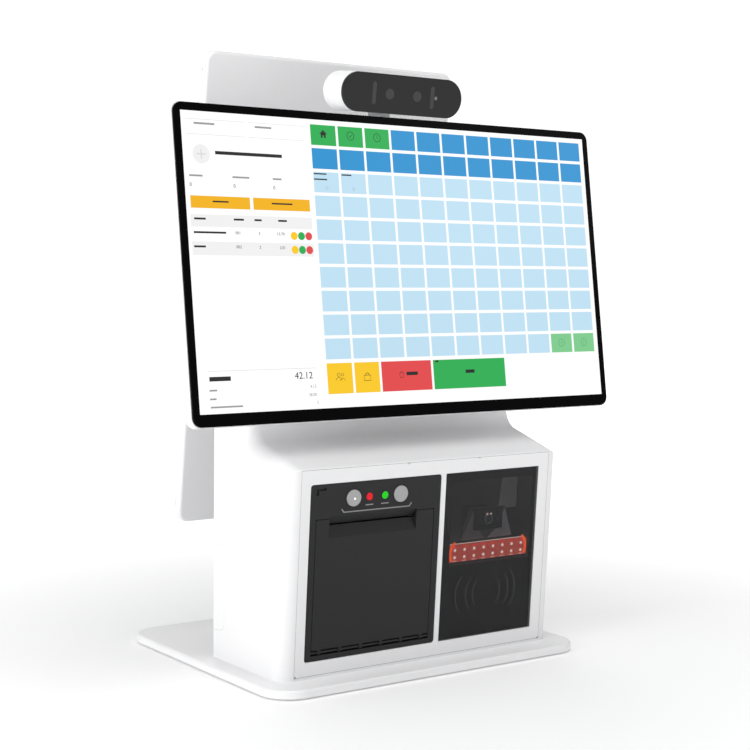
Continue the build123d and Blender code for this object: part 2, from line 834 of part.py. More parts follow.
platen_to_drive = angle_between(platen_centre, drive_centre)
drive_to_pinion = angle_between(drive_centre, pinion_centre)
drive_step = 360 / drive_teeth
drive_tooth = platen_to_drive + 180 + drive_step / 2
tooth_off_line = (drive_tooth - drive_to_pinion) % drive_step
pinion_tooth = drive_to_pinion + 180 - tooth_off_line * drive_teeth / pinion_teeth + 180 / pinion_teeth

with BuildPart() as platen_gear:
    gear(platen_centre, platen_teeth, axle_radius, platen_to_drive, (gear_x, gear_x + gear_width))
save(platen_gear, "platen_gear")

with BuildPart() as drive_gear:
    gear(drive_centre, drive_teeth, axle_radius + running, drive_tooth, (gear_x, gear_x + gear_width))
save(drive_gear, "drive_gear")

motor_radius = 10.5
motor_x = (cheek_x[1] - wall - 20, cheek_x[1] - wall)
with BuildPart() as motor_pinion:
    gear(pinion_centre, pinion_teeth, axle_radius - 0.5, pinion_tooth, (gear_x, gear_x + gear_width))
    rod(pinion_centre, axle_radius - 0.5, (motor_x[1] - 6, gear_x + gear_width + 0.5))
save(motor_pinion, "motor_pinion")

with BuildPart() as feed_motor:
    rod(pinion_centre, motor_radius, motor_x)
    rod(pinion_centre, axle_radius, (motor_x[1] - 8, motor_x[1]), Mode.SUBTRACT)
    fillet(feed_motor.edges().filter_by(GeomType.CIRCLE).sort_by(Axis.X)[0], 1.2)
save(feed_motor, "feed_motor")

head_x = (paper_x[0] - 1.5, paper_x[1] + 1.5)
with BuildPart() as thermal_head:
    slab(face, (head_x[1] - head_x[0], 24), 2.2, at=(slot_x, 124), start=platen_at[1] + platen_radius + 0.3)
    for index in range(5):
        slab(face, (head_x[1] - head_x[0], 1.4), 3.6, at=(slot_x, 114 + index * 5), start=22.4)
save(thermal_head, "thermal_head")

blade_travel = 3.0
blade_up = slot_up + 1.6
with BuildPart() as cutter_housing:
    slab(face, (86, 9.0), 9, at=(slot_x, 133.9), start=9)
    slab(face, (81, 12), 2.0, at=(slot_x, 133.9), start=10.5, mode=Mode.SUBTRACT)
save(cutter_housing, "cutter_housing")

with BuildPart() as cutter_blade:
    slab(face, (80.4, 7.5), 1.6, at=(slot_x, blade_up + 7.5 / 2), start=10.7)
    prism(
        face,
        [(blade_up - 0.1, 10.6), (blade_up - 0.1, 12.4), (blade_up + 1.2, 12.4)],
        (slot_x - 41, slot_x + 41),
        Mode.SUBTRACT,
    )
save(cutter_blade, "cutter_blade")

for name, x in (("feed_button", button_x[0]), ("open_button", button_x[1])):
    with BuildPart() as button:
        disc(face, button_radius, fascia_back + 0.9, at=(x, button_at), start=-0.8)
        fillet(nearest(button, face).edges(), 0.6)
        disc(face, button_radius + 1, 1.0, at=(x, button_at), start=fascia_back + 0.1)
    save(button, name)

for name, x in (("red_led", led_x[0]), ("green_led", led_x[1])):
    with BuildPart() as led:
        disc(face, led_radius, fascia_back + 1.5, at=(x, button_at), start=0.0)
        fillet(nearest(led, face).edges(), 0.5)
    save(led, name)

with BuildPart() as button_board:
    slab(face, (76, 17), 1.6, at=(printer_x, 147.5), start=9)
    for x in button_x:
        slab(face, (6, 6), 2.4, at=(x, button_at), start=6.6)
    for x in led_x:
        disc(face, 2.5, 3.8, at=(x, button_at), start=5.2)
save(button_board, "button_board")

trim_half = 33.9
trim_up = 137.5
with BuildPart() as button_trim:
    with BuildSketch(face.offset(-set_in)):
        with BuildLine() as underline:
            Polyline(
                (printer_x - trim_half, trim_up + 2.4),
                (printer_x - trim_half + 1.8, trim_up),
                (printer_x + trim_half - 1.8, trim_up),
                (printer_x + trim_half, trim_up + 2.4),
            )
            offset(amount=0.45, side=Side.BOTH)
        make_face()
    extrude(amount=0.25)
save(button_trim, "button_trim")

# ---------------------------------------------------------------- scanner
glass_back = panel_thickness
mask_thickness = 1.6
cavity_start = glass_back + mask_thickness
with BuildPart() as scanner_glass:
    slab(
        face,
        (scanner_width - 0.6, opening_height - 0.6),
        glass_back - set_in,
        at=(scanner_x, opening_mid),
        start=set_in,
    )
save(scanner_glass, "scanner_glass")

with BuildPart() as scanner_mask:
    slab(face, (105.0, 147.0), mask_thickness, at=(scanner_x, opening_mid), start=glass_back)
    slab(
        face,
        scan_window,
        mask_thickness,
        at=(scan_x, scan_window_mid),
        start=glass_back,
        corner=2,
        mode=Mode.SUBTRACT,
    )
save(scanner_mask, "scanner_mask")

cavity_depth = 20.0
engine_size = (30.0, 18.0)
with BuildPart() as scan_housing:
    outer = (scan_window[0] + 5, scan_window[1] + 5)
    slab(face, outer, cavity_depth, at=(scan_x, scan_window_mid), start=cavity_start)
    slab(
        face,
        (scan_window[0] + 1, scan_window[1] + 1),
        cavity_depth - 2,
        at=(scan_x, scan_window_mid),
        start=cavity_start,
        mode=Mode.SUBTRACT,
    )
    slab(
        face,
        (engine_size[0] + 0.4, engine_size[1] + 0.4),
        cavity_depth,
        at=(scan_x, engine_mid),
        start=cavity_start,
        mode=Mode.SUBTRACT,
    )
save(scan_housing, "scan_housing")

lens_radius = 4.6
with BuildPart() as scan_engine:
    slab(face, engine_size, 22, at=(scan_x, engine_mid), start=cavity_start + 2)
    slab(face, (22, 12), 3, at=(scan_x, engine_mid), start=cavity_start + 2, corner=1.5, mode=Mode.SUBTRACT)
    disc(face, lens_radius, 4, at=(scan_x, engine_mid), start=cavity_start + 3.5)
    disc(face, lens_radius - 0.8, 2.2, at=(scan_x, engine_mid), start=cavity_start + 3.5, mode=Mode.SUBTRACT)
save(scan_engine, "scan_engine")

with BuildPart() as scan_lens:
    disc(face, lens_radius - 0.8, 1.6, at=(scan_x, engine_mid), start=cavity_start + 4.1)
    fillet(nearest(scan_lens, face).edges(), 0.7)
save(scan_lens, "scan_lens")

# a pale plate that spreads the aiming light, wider at its foot, with the engine through it
with BuildPart() as light_reflector:
    with BuildSketch(face.offset(-cavity_start - 5.5)) as spread:
        with Locations((scan_x, 0)):
            Polygon((-29, 101), (29, 101), (19, 127.5), (-19, 127.5), align=None)
        with Locations((scan_x, engine_mid)):
            Rectangle(engine_size[0] + 0.4, engine_size[1] + 0.4, mode=Mode.SUBTRACT)
    extrude(amount=1.2)
save(light_reflector, "light_reflector")

led_rows = 2
led_columns = 8
led_pitch = (10.3, 6.2)
light_bar_size = (85.0, 14.0)
with BuildPart() as red_light_bar:
    slab(face, light_bar_size, 4.0, at=(scan_x, light_bar_mid), start=cavity_start + 0.6)
    with BuildSketch(face.offset(-cavity_start - 4.6)) as pockets:
        with Locations((scan_x, light_bar_mid)):
            with GridLocations(*led_pitch, led_columns, led_rows):
                Circle(1.8)
    extrude(pockets.sketch, amount=2.2, mode=Mode.SUBTRACT)
save(red_light_bar, "red_light_bar")

with BuildPart() as scan_leds:
    slab(face, light_bar_size, 1.6, at=(scan_x, light_bar_mid), start=cavity_start + 4.6)
    with BuildSketch(face.offset(-cavity_start - 4.6)) as domes:
        with Locations((scan_x, light_bar_mid)):
            with GridLocations(*led_pitch, led_columns, led_rows):
                Circle(1.5)
    extrude(domes.sketch, amount=1.8)
save(scan_leds, "scan_leds")

with BuildPart() as reader_board:
    slab(face, (88, 48), 1.6, at=(scanner_x, 52), start=cavity_start)
    slab(face, (14, 14), 2.4, at=(scanner_x - 24, 52), start=cavity_start + 1.6)
save(reader_board, "reader_board")

# ---------------------------------------------------------------- displays
case_size = (main_glass_size[0] + 2 * case_lip, main_glass_size[1] + 2 * case_lip)
case_rim = 2.4
with BuildPart() as main_glass:
    slab(main_plane, main_glass_size, main_glass_thickness, corner=main_glass_corner)
save(main_glass, "main_glass")

with BuildPart() as main_lcd:
    slab(main_plane, (414.0, 238.0), 6.5, start=main_glass_thickness)
save(main_lcd, "main_lcd")

with BuildPart() as main_case:
    slab(
        main_plane,
        case_size,
        main_depth - main_glass_thickness,
        start=main_glass_thickness,
        corner=main_glass_corner + case_lip,
    )
    fillet(farthest(main_case, main_plane).edges(), 6)
    slab(main_plane, bulge_size, bulge_depth, start=main_depth, corner=14)
    fillet(farthest(main_case, main_plane).edges(), 3)
    slab(
        main_plane,
        (case_size[0] - 2 * case_rim, case_size[1] - 2 * case_rim),
        main_depth - main_glass_thickness - case_rim,
        start=main_glass_thickness,
        corner=6,
        mode=Mode.SUBTRACT,
    )
    slab(
        main_plane,
        (bulge_size[0] - 6, bulge_size[1] - 6),
        bulge_depth,
        start=main_depth - case_rim,
        corner=11,
        mode=Mode.SUBTRACT,
    )
save(main_case, "main_case")

rear_glass_thickness = 1.6
with BuildPart() as rear_glass:
    slab(
        rear_plane,
        (rear_case_size[0] - 1.6, rear_case_size[1] - 1.6),
        rear_glass_thickness,
        corner=rear_case_corner - 0.8,
    )
save(rear_glass, "rear_glass")

with BuildPart() as rear_lcd:
    slab(rear_plane, (247.0, 392.0), 5.0, start=rear_glass_thickness)
save(rear_lcd, "rear_lcd")

with BuildPart() as rear_case:
    slab(
        rear_plane,
        rear_case_size,
        rear_depth - rear_glass_thickness,
        start=rear_glass_thickness,
        corner=rear_case_corner,
    )
    fillet(farthest(rear_case, rear_plane).edges(), 3)
    slab(
        rear_plane,
        (rear_case_size[0] - 4.4, rear_case_size[1] - 4.4),
        rear_depth - rear_glass_thickness - 2.2,
        start=rear_glass_thickness,
        corner=rear_case_corner - 2.2,
        mode=Mode.SUBTRACT,
    )
    for side in (-1, 1):
        for up in (-184, 184):
            slab(
                rear_plane,
                (1.6, 7.0),
                1.6,
                at=(side * rear_case_size[0] / 2, up),
                start=4.0,
                mode=Mode.SUBTRACT,
            )
save(rear_case, "rear_case")

# ---------------------------------------------------------------- display hinges
main_axis = point_behind(main_plane, 0, main_axis_depth)
rear_axis = point_behind(rear_plane, rear_axis_up, rear_axis_depth)
plate = 2.0
bracket = 2.5
outer_ear = hinge_half + ear_gap


def moving_ear(plane, axis, axis_up, axis_depth, start, x):
    """A display side ear: it stands on the hinge plate and rounds off about the pin."""
    with BuildSketch(Plane.YZ.offset(x[0])) as outline:
        with Locations(axis):
            Circle(ear_radius)
        with BuildLine():
            Polyline(
                point_behind(plane, axis_up + ear_radius, axis_depth),
                point_behind(plane, axis_up + ear_radius + 5, start),
                point_behind(plane, axis_up - ear_radius - 5, start),
                point_behind(plane, axis_up - ear_radius, axis_depth),
                close=True,
            )
        make_face()
        with Locations(axis):
            Circle(display_pin_radius + running, mode=Mode.SUBTRACT)
    extrude(outline.sketch, amount=x[1] - x[0])


for name, plane, axis, axis_up, axis_depth, start in (
    ("main_hinge_plate", main_plane, main_axis, 0, main_axis_depth, main_depth + bulge_depth),
    ("rear_hinge_plate", rear_plane, rear_axis, rear_axis_up, rear_axis_depth, rear_depth),
):
    with BuildPart() as hinge_plate:
        slab(plane, (110, 72), plate, at=(0, axis_up), start=start, corner=6)
        for side in (-1, 1):
            x = sorted((side * hinge_half, side * (hinge_half - ear_thickness)))
            moving_ear(plane, axis, axis_up, axis_depth, start + plate - 0.1, x)
    save(hinge_plate, name)

bracket_screws_at = [(x, z) for x in (-34, 34) for z in (306, 342)]
for name, axis, foot, wall_y in (
    ("main_hinge_bracket", main_axis, column_front_y - bracket, (column_front_y - bracket, column_front_y)),
    ("rear_hinge_bracket", rear_axis, rear_y + bracket, (rear_y, rear_y + bracket)),
):
    with BuildPart() as hinge_bracket:
        brick((-54, 54), wall_y, (300, 348))
        for side in (-1, 1):
            x = sorted((side * outer_ear, side * (outer_ear + ear_thickness)))
            ear(axis, foot, 14, x)
        rod(axis, display_pin_radius, (-54, 54), Mode.SUBTRACT)
        with BuildSketch(Plane.XZ.offset(-wall_y[1] - 1)) as holes:
            with Locations(*bracket_screws_at):
                Circle(2.2)
        extrude(holes.sketch, amount=bracket + 2, mode=Mode.SUBTRACT)
    save(hinge_bracket, name)

with BuildPart() as hinge_pins:
    for axis in (main_axis, rear_axis):
        for side in (-1, 1):
            x = sorted((side * (hinge_half - ear_thickness - 2), side * (outer_ear + ear_thickness + 2)))
            rod(axis, display_pin_radius, x)
save(hinge_pins, "hinge_pins")

with BuildPart() as bracket_screws:
    for x, z in bracket_screws_at:
        for y, way in ((column_front_y - bracket, 1), (rear_y + bracket, -1)):
            with BuildSketch(Plane.XZ.offset(-y)) as head:
                with Locations((x, z)):
                    Circle(3.6)
                    RegularPolygon(1.6, 6, mode=Mode.SUBTRACT)
            extrude(head.sketch, amount=way * 2.4)
save(bracket_screws, "bracket_screws")

# ---------------------------------------------------------------- camera
camera_face_thickness = 2.0
lug = 4.0
camera_pin_radius = 2.0
camera_lug_radius = 5.0
camera_axis = point_behind(camera_plane, 0, camera_axis_depth)


def pill(plane, size, thickness, start, at=(0, 0), turn=0, mode=Mode.ADD):
    """A slab with fully round ends."""
    with BuildSketch(plane.offset(-start - thickness)) as outline:
        with Locations(Location((*at, 0), (0, 0, turn))):
            SlotOverall(*size)
    extrude(outline.sketch, amount=thickness, mode=mode)


with BuildPart() as camera_glass:
    pill(camera_plane, camera_size, camera_face_thickness, 0)
    fillet(nearest(camera_glass, camera_plane).edges(), 0.6)
save(camera_glass, "camera_glass")

with BuildPart() as camera_shell:
    pill(camera_plane, camera_size, camera_depth - camera_face_thickness, camera_face_thickness)
    fillet(farthest(camera_shell, camera_plane).edges(), 4)
    pill(
        camera_plane,
        (camera_size[0] - 4.4, camera_size[1] - 4.4),
        camera_depth - camera_face_thickness - 2.2,
        camera_face_thickness,
        mode=Mode.SUBTRACT,
    )
    for side in (-1, 1):
        x = sorted((side * 12, side * (12 + lug)))
        rod(camera_axis, camera_lug_radius, x)
        prism(
            camera_plane,
            [
                (camera_lug_radius, camera_axis_depth),
                (camera_lug_radius, camera_depth - 0.5),
                (-camera_lug_radius, camera_depth - 0.5),
                (-camera_lug_radius, camera_axis_depth),
            ],
            x,
        )
    rod(camera_axis, camera_pin_radius + running, (-20, 20), Mode.SUBTRACT)
save(camera_shell, "camera_shell")

arm_depth = 27.0
knuckle_half = 11.5
camera_axis_local = main_plane.to_local_coords(Vector(0, *camera_axis))
with BuildPart() as camera_arm:
    slab(main_plane, (36, 26), arm_depth - main_depth, at=(0, 98), start=main_depth, corner=2)
    arm_foot = 85.0
    arm_head = camera_axis_local.Y
    arm_size = (2 * knuckle_half, arm_head - arm_foot)
    slab(main_plane, arm_size, bracket, at=(0, (arm_head + arm_foot) / 2), start=arm_depth)
    rod(camera_axis, camera_lug_radius, (-knuckle_half, knuckle_half))
    rod(camera_axis, camera_pin_radius, (-knuckle_half - lug - 1, knuckle_half + lug + 1))
save(camera_arm, "camera_arm")

with BuildPart() as camera_optics:
    for side in (-1, 1):
        disc(camera_plane, 4.3, 8, at=(side * 14, 0), start=camera_face_thickness)
        pill(camera_plane, (18.4, 3.8), 5, camera_face_thickness, at=(side * 29.6, 0), turn=90)
    disc(camera_plane, 1.6, 5, at=(37.5, 0), start=camera_face_thickness)
    slab(camera_plane, (104, 20), 1.6, start=camera_face_thickness + 8)
save(camera_optics, "camera_optics")
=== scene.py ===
import bmesh
import bpy
from math import asin, cos, degrees, pi, radians, sin
from mathutils import Matrix, Vector


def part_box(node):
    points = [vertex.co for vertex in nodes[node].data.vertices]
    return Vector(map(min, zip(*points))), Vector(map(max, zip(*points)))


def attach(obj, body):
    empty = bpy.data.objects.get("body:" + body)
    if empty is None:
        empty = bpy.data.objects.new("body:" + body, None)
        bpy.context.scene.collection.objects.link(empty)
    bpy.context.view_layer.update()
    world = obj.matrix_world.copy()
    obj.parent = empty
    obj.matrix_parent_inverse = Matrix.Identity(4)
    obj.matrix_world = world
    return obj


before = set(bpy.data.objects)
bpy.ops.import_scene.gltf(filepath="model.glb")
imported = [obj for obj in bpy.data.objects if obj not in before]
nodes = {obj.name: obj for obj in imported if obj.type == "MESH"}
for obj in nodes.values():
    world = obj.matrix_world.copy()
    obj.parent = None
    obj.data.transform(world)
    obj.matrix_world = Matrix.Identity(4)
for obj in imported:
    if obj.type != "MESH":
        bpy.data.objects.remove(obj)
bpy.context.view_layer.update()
scene = bpy.context.scene
MM = 0.001

# ---------------------------------------------------------------- the viewer
# A customer walking up from the kiosk's left, with the eye at the height of the display and
# about 1.4 metres away. A long lens keeps the panels nearly square.
eye = Vector((-0.7836, -1.1229, 0.3335))
heading, droop, sway = radians(35.598), radians(4.015), radians(-0.664)
forward = Vector((sin(heading) * cos(droop), cos(heading) * cos(droop), -sin(droop)))
level = Vector((cos(heading), -sin(heading), 0))
down = forward.cross(level)
across_view = cos(sway) * level + sin(sway) * down
up_view = sin(sway) * level - cos(sway) * down

lens = bpy.data.cameras.new("viewer")
lens.sensor_width = 36.0
lens.lens = 76.0
viewer = bpy.data.objects.new("viewer", lens)
viewer.matrix_world = Matrix(
    [(*row, eye[index]) for index, row in enumerate(zip(across_view, up_view, -forward))] + [(0, 0, 0, 1)]
)
scene.collection.objects.link(viewer)
scene.camera = viewer
scene.view_settings.view_transform = "Standard"

# ---------------------------------------------------------------- the studio
# A white sweep behind, and soft boxes: a broad one on the object's left, one above its front, a
# weak one over the right shoulder and one behind. The eye sees the backdrop brighter than it
# shines, so it stays white while the object keeps its shade.
BACKDROP, AMBIENT = 1.1, 0.44
studio = bpy.data.worlds.new("studio")
studio.use_nodes = True
sky, sky_links = studio.node_tree.nodes, studio.node_tree.links
sky["Background"].inputs["Color"].default_value = (1.0, 1.0, 1.0, 1)
seen = sky.new("ShaderNodeLightPath")
brightness = sky.new("ShaderNodeMapRange")
brightness.inputs["To Min"].default_value = AMBIENT
brightness.inputs["To Max"].default_value = BACKDROP
sky_links.new(seen.outputs["Is Camera Ray"], brightness.inputs["Value"])
sky_links.new(brightness.outputs[0], sky["Background"].inputs["Strength"])
scene.world = studio


def soft_box(name, place, aim, size, power):
    """A square lamp of the given size that faces the aim point."""
    lamp = bpy.data.lights.new(name, "AREA")
    lamp.size = size
    lamp.energy = power
    holder = bpy.data.objects.new(name, lamp)
    holder.location = place
    holder.rotation_euler = (Vector(aim) - Vector(place)).to_track_quat("-Z", "Y").to_euler()
    scene.collection.objects.link(holder)


soft_box("key", (-2.45, -0.35, 0.55), (0, 0, 0.2), 1.5, 33)
soft_box("top", (-0.2, -0.9, 2.5), (0, 0, 0.1), 1.6, 24)
soft_box("fill", (1.8, -1.6, 1.4), (0, 0, 0.25), 1.2, 3)
soft_box("rear", (0.9, 2.3, 1.3), (0, 0, 0.25), 1.4, 8)


class Wire:
    """One output in a material's node tree. Arithmetic on wires adds Math nodes."""

    def __init__(self, tree, socket=None):
        self.tree = tree
        self.socket = socket

    def node(self, kind, settings=None, sockets=None, out=0):
        """Adds a node. Settings come first, then each socket takes a value or a wire."""
        made = self.tree.nodes.new(kind)
        for name, value in (settings or {}).items():
            setattr(made, name, value)
        for name, value in (sockets or {}).items():
            if isinstance(value, Wire):
                self.tree.links.new(value.socket, made.inputs[name])
            else:
                made.inputs[name].default_value = value
        return Wire(self.tree, made.outputs[out])

    def sum(self, operation, *values):
        return self.node("ShaderNodeMath", {"operation": operation}, dict(enumerate(values)))

    def __add__(self, other):
        return self.sum("ADD", self, other)

    __radd__ = __add__

    def __sub__(self, other):
        return self.sum("SUBTRACT", self, other)

    def __rsub__(self, other):
        return self.sum("SUBTRACT", other, self)

    def __mul__(self, other):
        return self.sum("MULTIPLY", self, other)

    __rmul__ = __mul__

    def blend(self, first, second):
        """Goes from the first colour to the second as this wire goes from 0 to 1."""
        first, second = (c if isinstance(c, Wire) else (*c, 1) for c in (first, second))
        return self.node("ShaderNodeMix", {"data_type": "RGBA"}, {0: self, 6: first, 7: second}, out=2)

    def noise(self, place, scale, detail=2.0, roughness=0.5):
        """Smooth random values from 0 to 1; scale is in bumps per metre."""
        wanted = {"Vector": place, "Scale": scale, "Detail": detail, "Roughness": roughness}
        return self.node("ShaderNodeTexNoise", None, wanted)


def linear(code):
    """The shader colour of a hexadecimal paint code."""
    values = [int(code[index : index + 2], 16) / 255 for index in (0, 2, 4)]
    return tuple(v / 12.92 if v <= 0.04045 else ((v + 0.055) / 1.055) ** 2.4 for v in values)


def blank(name, **fixed):
    """A new material with its shader's plain sockets set: the material, its shader and a first wire."""
    material = bpy.data.materials.new(name)
    material.use_nodes = True
    shader = material.node_tree.nodes["Principled BSDF"]
    for socket, value in fixed.items():
        shader.inputs[socket.replace("_", " ")].default_value = value
    return material, shader, Wire(material.node_tree)


def feed(material, shader, **wires):
    for socket, wire in wires.items():
        material.node_tree.links.new(wire.socket, shader.inputs[socket.replace("_", " ")])


def moulded(name, code, rough, grain=1600.0, depth=0.06, mottle=0.03, stretch=(1, 1, 1), **fixed):
    """A satin finish: fine tooling grain, slow changes of shade and gloss, fixed colour code."""
    material, shader, wire = blank(name, **fixed)
    spot = wire.node("ShaderNodeTexCoord", out=3)
    along = wire.node("ShaderNodeMapping", None, {"Vector": spot, "Scale": stretch})
    cloud = wire.noise(spot, 14.0, 3.0)
    fine = wire.noise(along, grain, 2.0)
    tint = linear(code)
    dark = tuple(v * (1 - 2 * mottle) for v in tint)
    feed(
        material,
        shader,
        Base_Color=(0.65 * cloud + 0.35 * fine).blend(dark, tint),
        Roughness=rough - 0.06 + 0.08 * cloud + 0.04 * fine,
        Normal=wire.node("ShaderNodeBump", None, {"Strength": depth, "Distance": 0.0001, "Height": fine}),
    )
    return material


def dress(material, *names):
    """Gives the CAD pieces of these names the material."""
    for name in names:
        for holder in nodes[name].material_slots:
            holder.link = "OBJECT"
            holder.material = material


# ---------------------------------------------------------------- the floor
# The sweep's floor glows more away from the object, so its far edge meets the backdrop unseen.
FLOOR_HALF = 3.0
GLOW_STARTS, GLOW_FULL = 0.22, 1.3
NEAR_GLOW, FAR_GLOW = (0.10, 0.10, 0.10), (0.85, 0.85, 0.85)
sweep_mesh = bmesh.new()
bmesh.ops.create_grid(sweep_mesh, x_segments=2, y_segments=2, size=FLOOR_HALF)
sweep_shape = bpy.data.meshes.new("floor")
sweep_mesh.to_mesh(sweep_shape)
sweep_mesh.free()
floor = bpy.data.objects.new("floor", sweep_shape)
white_sweep = moulded(
    "white sweep", "fbfbfb", 0.75, grain=300.0, depth=0.02, mottle=0.005, Emission_Strength=1.0
)
wire = Wire(white_sweep.node_tree)
spot = wire.node("ShaderNodeTexCoord", out=3)
away = wire.node("ShaderNodeVectorMath", {"operation": "LENGTH"}, {0: spot}, out=1)
fade = {0: away, 1: GLOW_STARTS, 2: GLOW_FULL}
rim = wire.node("ShaderNodeMapRange", {"interpolation_type": "SMOOTHSTEP"}, fade)
sweep_shader = white_sweep.node_tree.nodes["Principled BSDF"]
feed(white_sweep, sweep_shader, Emission_Color=rim.blend(NEAR_GLOW, FAR_GLOW))
floor.data.materials.append(white_sweep)
scene.collection.objects.link(floor)

# ---------------------------------------------------------------- base plate and feet
# A flat steel plate with a powder coat, which dries with a faint orange peel. Rubber pads are
# pressed in from below, and zinc-plated flat-head screws hold the pedestal down.
powder_coat = moulded("white powder coat", "f0f0f1", 0.42, grain=900.0, depth=0.16, mottle=0.01)
soft_rubber = moulded("black rubber", "161616", 0.82, grain=2200.0, depth=0.3, mottle=0.08)
dress(powder_coat, "base_plate")
dress(soft_rubber, "foot_pads")


def rolled_metal(name, code, rough, stretch=(6, 220, 220)):
    """Bare metal with the fine lines of rolling or grinding along X."""
    return moulded(name, code, rough, grain=14.0, depth=0.08, mottle=0.07, stretch=stretch, Metallic=1.0)


zinc = rolled_metal("zinc plate", "b8bcc0", 0.36)
dress(zinc, "base_screws", "bracket_screws")

# ---------------------------------------------------------------- pedestal shells
# White moulded plastic, satin from a lightly blasted tool. The two rear covers and the front
# panel are separate mouldings that clip on; the front panel's seam is drawn below as a grey line of painted
# shade.
satin_white = moulded("satin white plastic", "eeeeef", 0.38, grain=2400.0, depth=0.10, mottle=0.012)
dress(satin_white, "pedestal_shell", "upper_rear_cover", "cable_cover", "front_frame")
dress(satin_white, "main_case", "rear_case", "camera_shell", "camera_arm")

# ---------------------------------------------------------------- steel and hinges inside
# Galvanised sheet carries the load up to a cast block, and dark painted brackets carry the
# displays on ground steel pins.
galvanised, galvanised_shader, wire = blank("galvanised sheet", Metallic=1.0)
spot = wire.node("ShaderNodeTexCoord", out=3)
crystals = wire.node("ShaderNodeTexVoronoi", {"feature": "F1"}, {"Vector": spot, "Scale": 130.0}, out=1)
spangle = wire.node("ShaderNodeRGBToBW", None, {"Color": crystals})
feed(
    galvanised,
    galvanised_shader,
    Base_Color=spangle.blend(linear("9a9ea2"), linear("c2c6ca")),
    Roughness=0.32 + 0.22 * spangle,
)
dress(galvanised, "steel_post", "io_panel")
dress(moulded("cast block", "a9acb0", 0.55, grain=700.0, depth=0.4, mottle=0.05, Metallic=1.0), "hinge_block")
hinge_paint = moulded("dark hinge paint", "4a4b4e", 0.48, grain=1100.0, depth=0.2, mottle=0.05)
dress(hinge_paint, "main_hinge_plate", "main_hinge_bracket", "rear_hinge_plate", "rear_hinge_bracket")
ground_steel = rolled_metal("ground steel", "c6c9cc", 0.22)
dress(ground_steel, "hinge_pins", "platen_shaft", "cutter_blade")
dress(rolled_metal("tin plate", "cfd1d4", 0.28), "io_ports")
dress(moulded("black socket plastic", "121212", 0.5, grain=1500.0, mottle=0.05), "power_inlet")
dress(rolled_metal("folded aluminium", "b9bbbe", 0.42), "power_supply", "thermal_head")

# circuit boards: green mask over copper tracks, which stand a hair proud and look paler
board_mask, board_shader, wire = blank("green circuit board", Coat_Weight=0.4, Coat_Roughness=0.15)
spot = wire.node("ShaderNodeTexCoord", out=3)
tracks = wire.node(
    "ShaderNodeTexBrick",
    {"offset": 0.37},
    {
        "Vector": wire.node("ShaderNodeMapping", None, {"Vector": spot, "Rotation": (radians(90), 0, 0)}),
        "Scale": 160.0,
        "Mortar Size": 0.06,
        "Mortar Smooth": 0.1,
    },
    out=1,
)
patches = wire.noise(spot, 60.0)
feed(
    board_mask,
    board_shader,
    Base_Color=(tracks * (0.4 + 0.6 * patches)).blend(linear("0d4a2a"), linear("2f7a4b")),
    Roughness=0.36 + 0.2 * patches,
    Normal=wire.node("ShaderNodeBump", None, {"Strength": 0.2, "Distance": 0.0001, "Height": tracks}),
)
dress(board_mask, "main_board", "button_board", "reader_board")

# ---------------------------------------------------------------- customer display glass
# One sheet of cover glass with a black border printed on its back, bonded over the panel. The
# glass is polished, with the faint smears that fingers leave on a touch screen.
border, border_shader, wire = blank("black bordered glass", Specular_IOR_Level=0.06, IOR=1.45)
spot = wire.node("ShaderNodeTexCoord", out=3)
smear = wire.noise(spot, 22.0, 4.0, 0.6)
feed(
    border,
    border_shader,
    Base_Color=smear.blend(linear("030303"), linear("070708")),
    Roughness=0.07 + 0.10 * smear,
)
dress(border, "main_glass", "rear_glass")
backlight = moulded("display panel", "c9ccd0", 0.3, grain=400.0, depth=0.05, mottle=0.03)
dress(backlight, "main_lcd", "rear_lcd")


def panel(node, facing):
    """The place of a node's flat front: x across it, y up it and z out of it, in millimetres."""
    shape = nodes[node].data
    areas = {}
    for polygon in shape.polygons:
        if polygon.normal.dot(Vector(facing)) > 0.8:
            key = tuple(round(value, 3) for value in polygon.normal)
            areas[key] = areas.get(key, 0.0) + polygon.area
    out = Vector(max(areas, key=areas.get)).normalized()
    up = (Vector((0, 0, 1)) - out * out.z).normalized()
    across = up.cross(out)
    reach = max(vertex.co.dot(out) for vertex in shape.vertices)
    front = [vertex.co for vertex in shape.vertices if vertex.co.dot(out) > reach - 0.00005]
    middle = out * reach
    for side in (across, up):
        spread = [corner.dot(side) for corner in front]
        middle += side * (max(spread) + min(spread)) / 2
    return Matrix.Translation(middle) @ Matrix((across, up, out)).transposed().to_4x4() @ Matrix.Scale(MM, 4)


def keep(mesh, name, place, finish, body):
    """Turns a drawing in panel millimetres into a piece that rides on a body."""
    bmesh.ops.transform(mesh, matrix=place, verts=mesh.verts)
    shape = bpy.data.meshes.new(name)
    mesh.to_mesh(shape)
    mesh.free()
    piece = bpy.data.objects.new(name, shape)
    shape.materials.append(finish)
    scene.collection.objects.link(piece)
    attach(piece, body)
    return piece


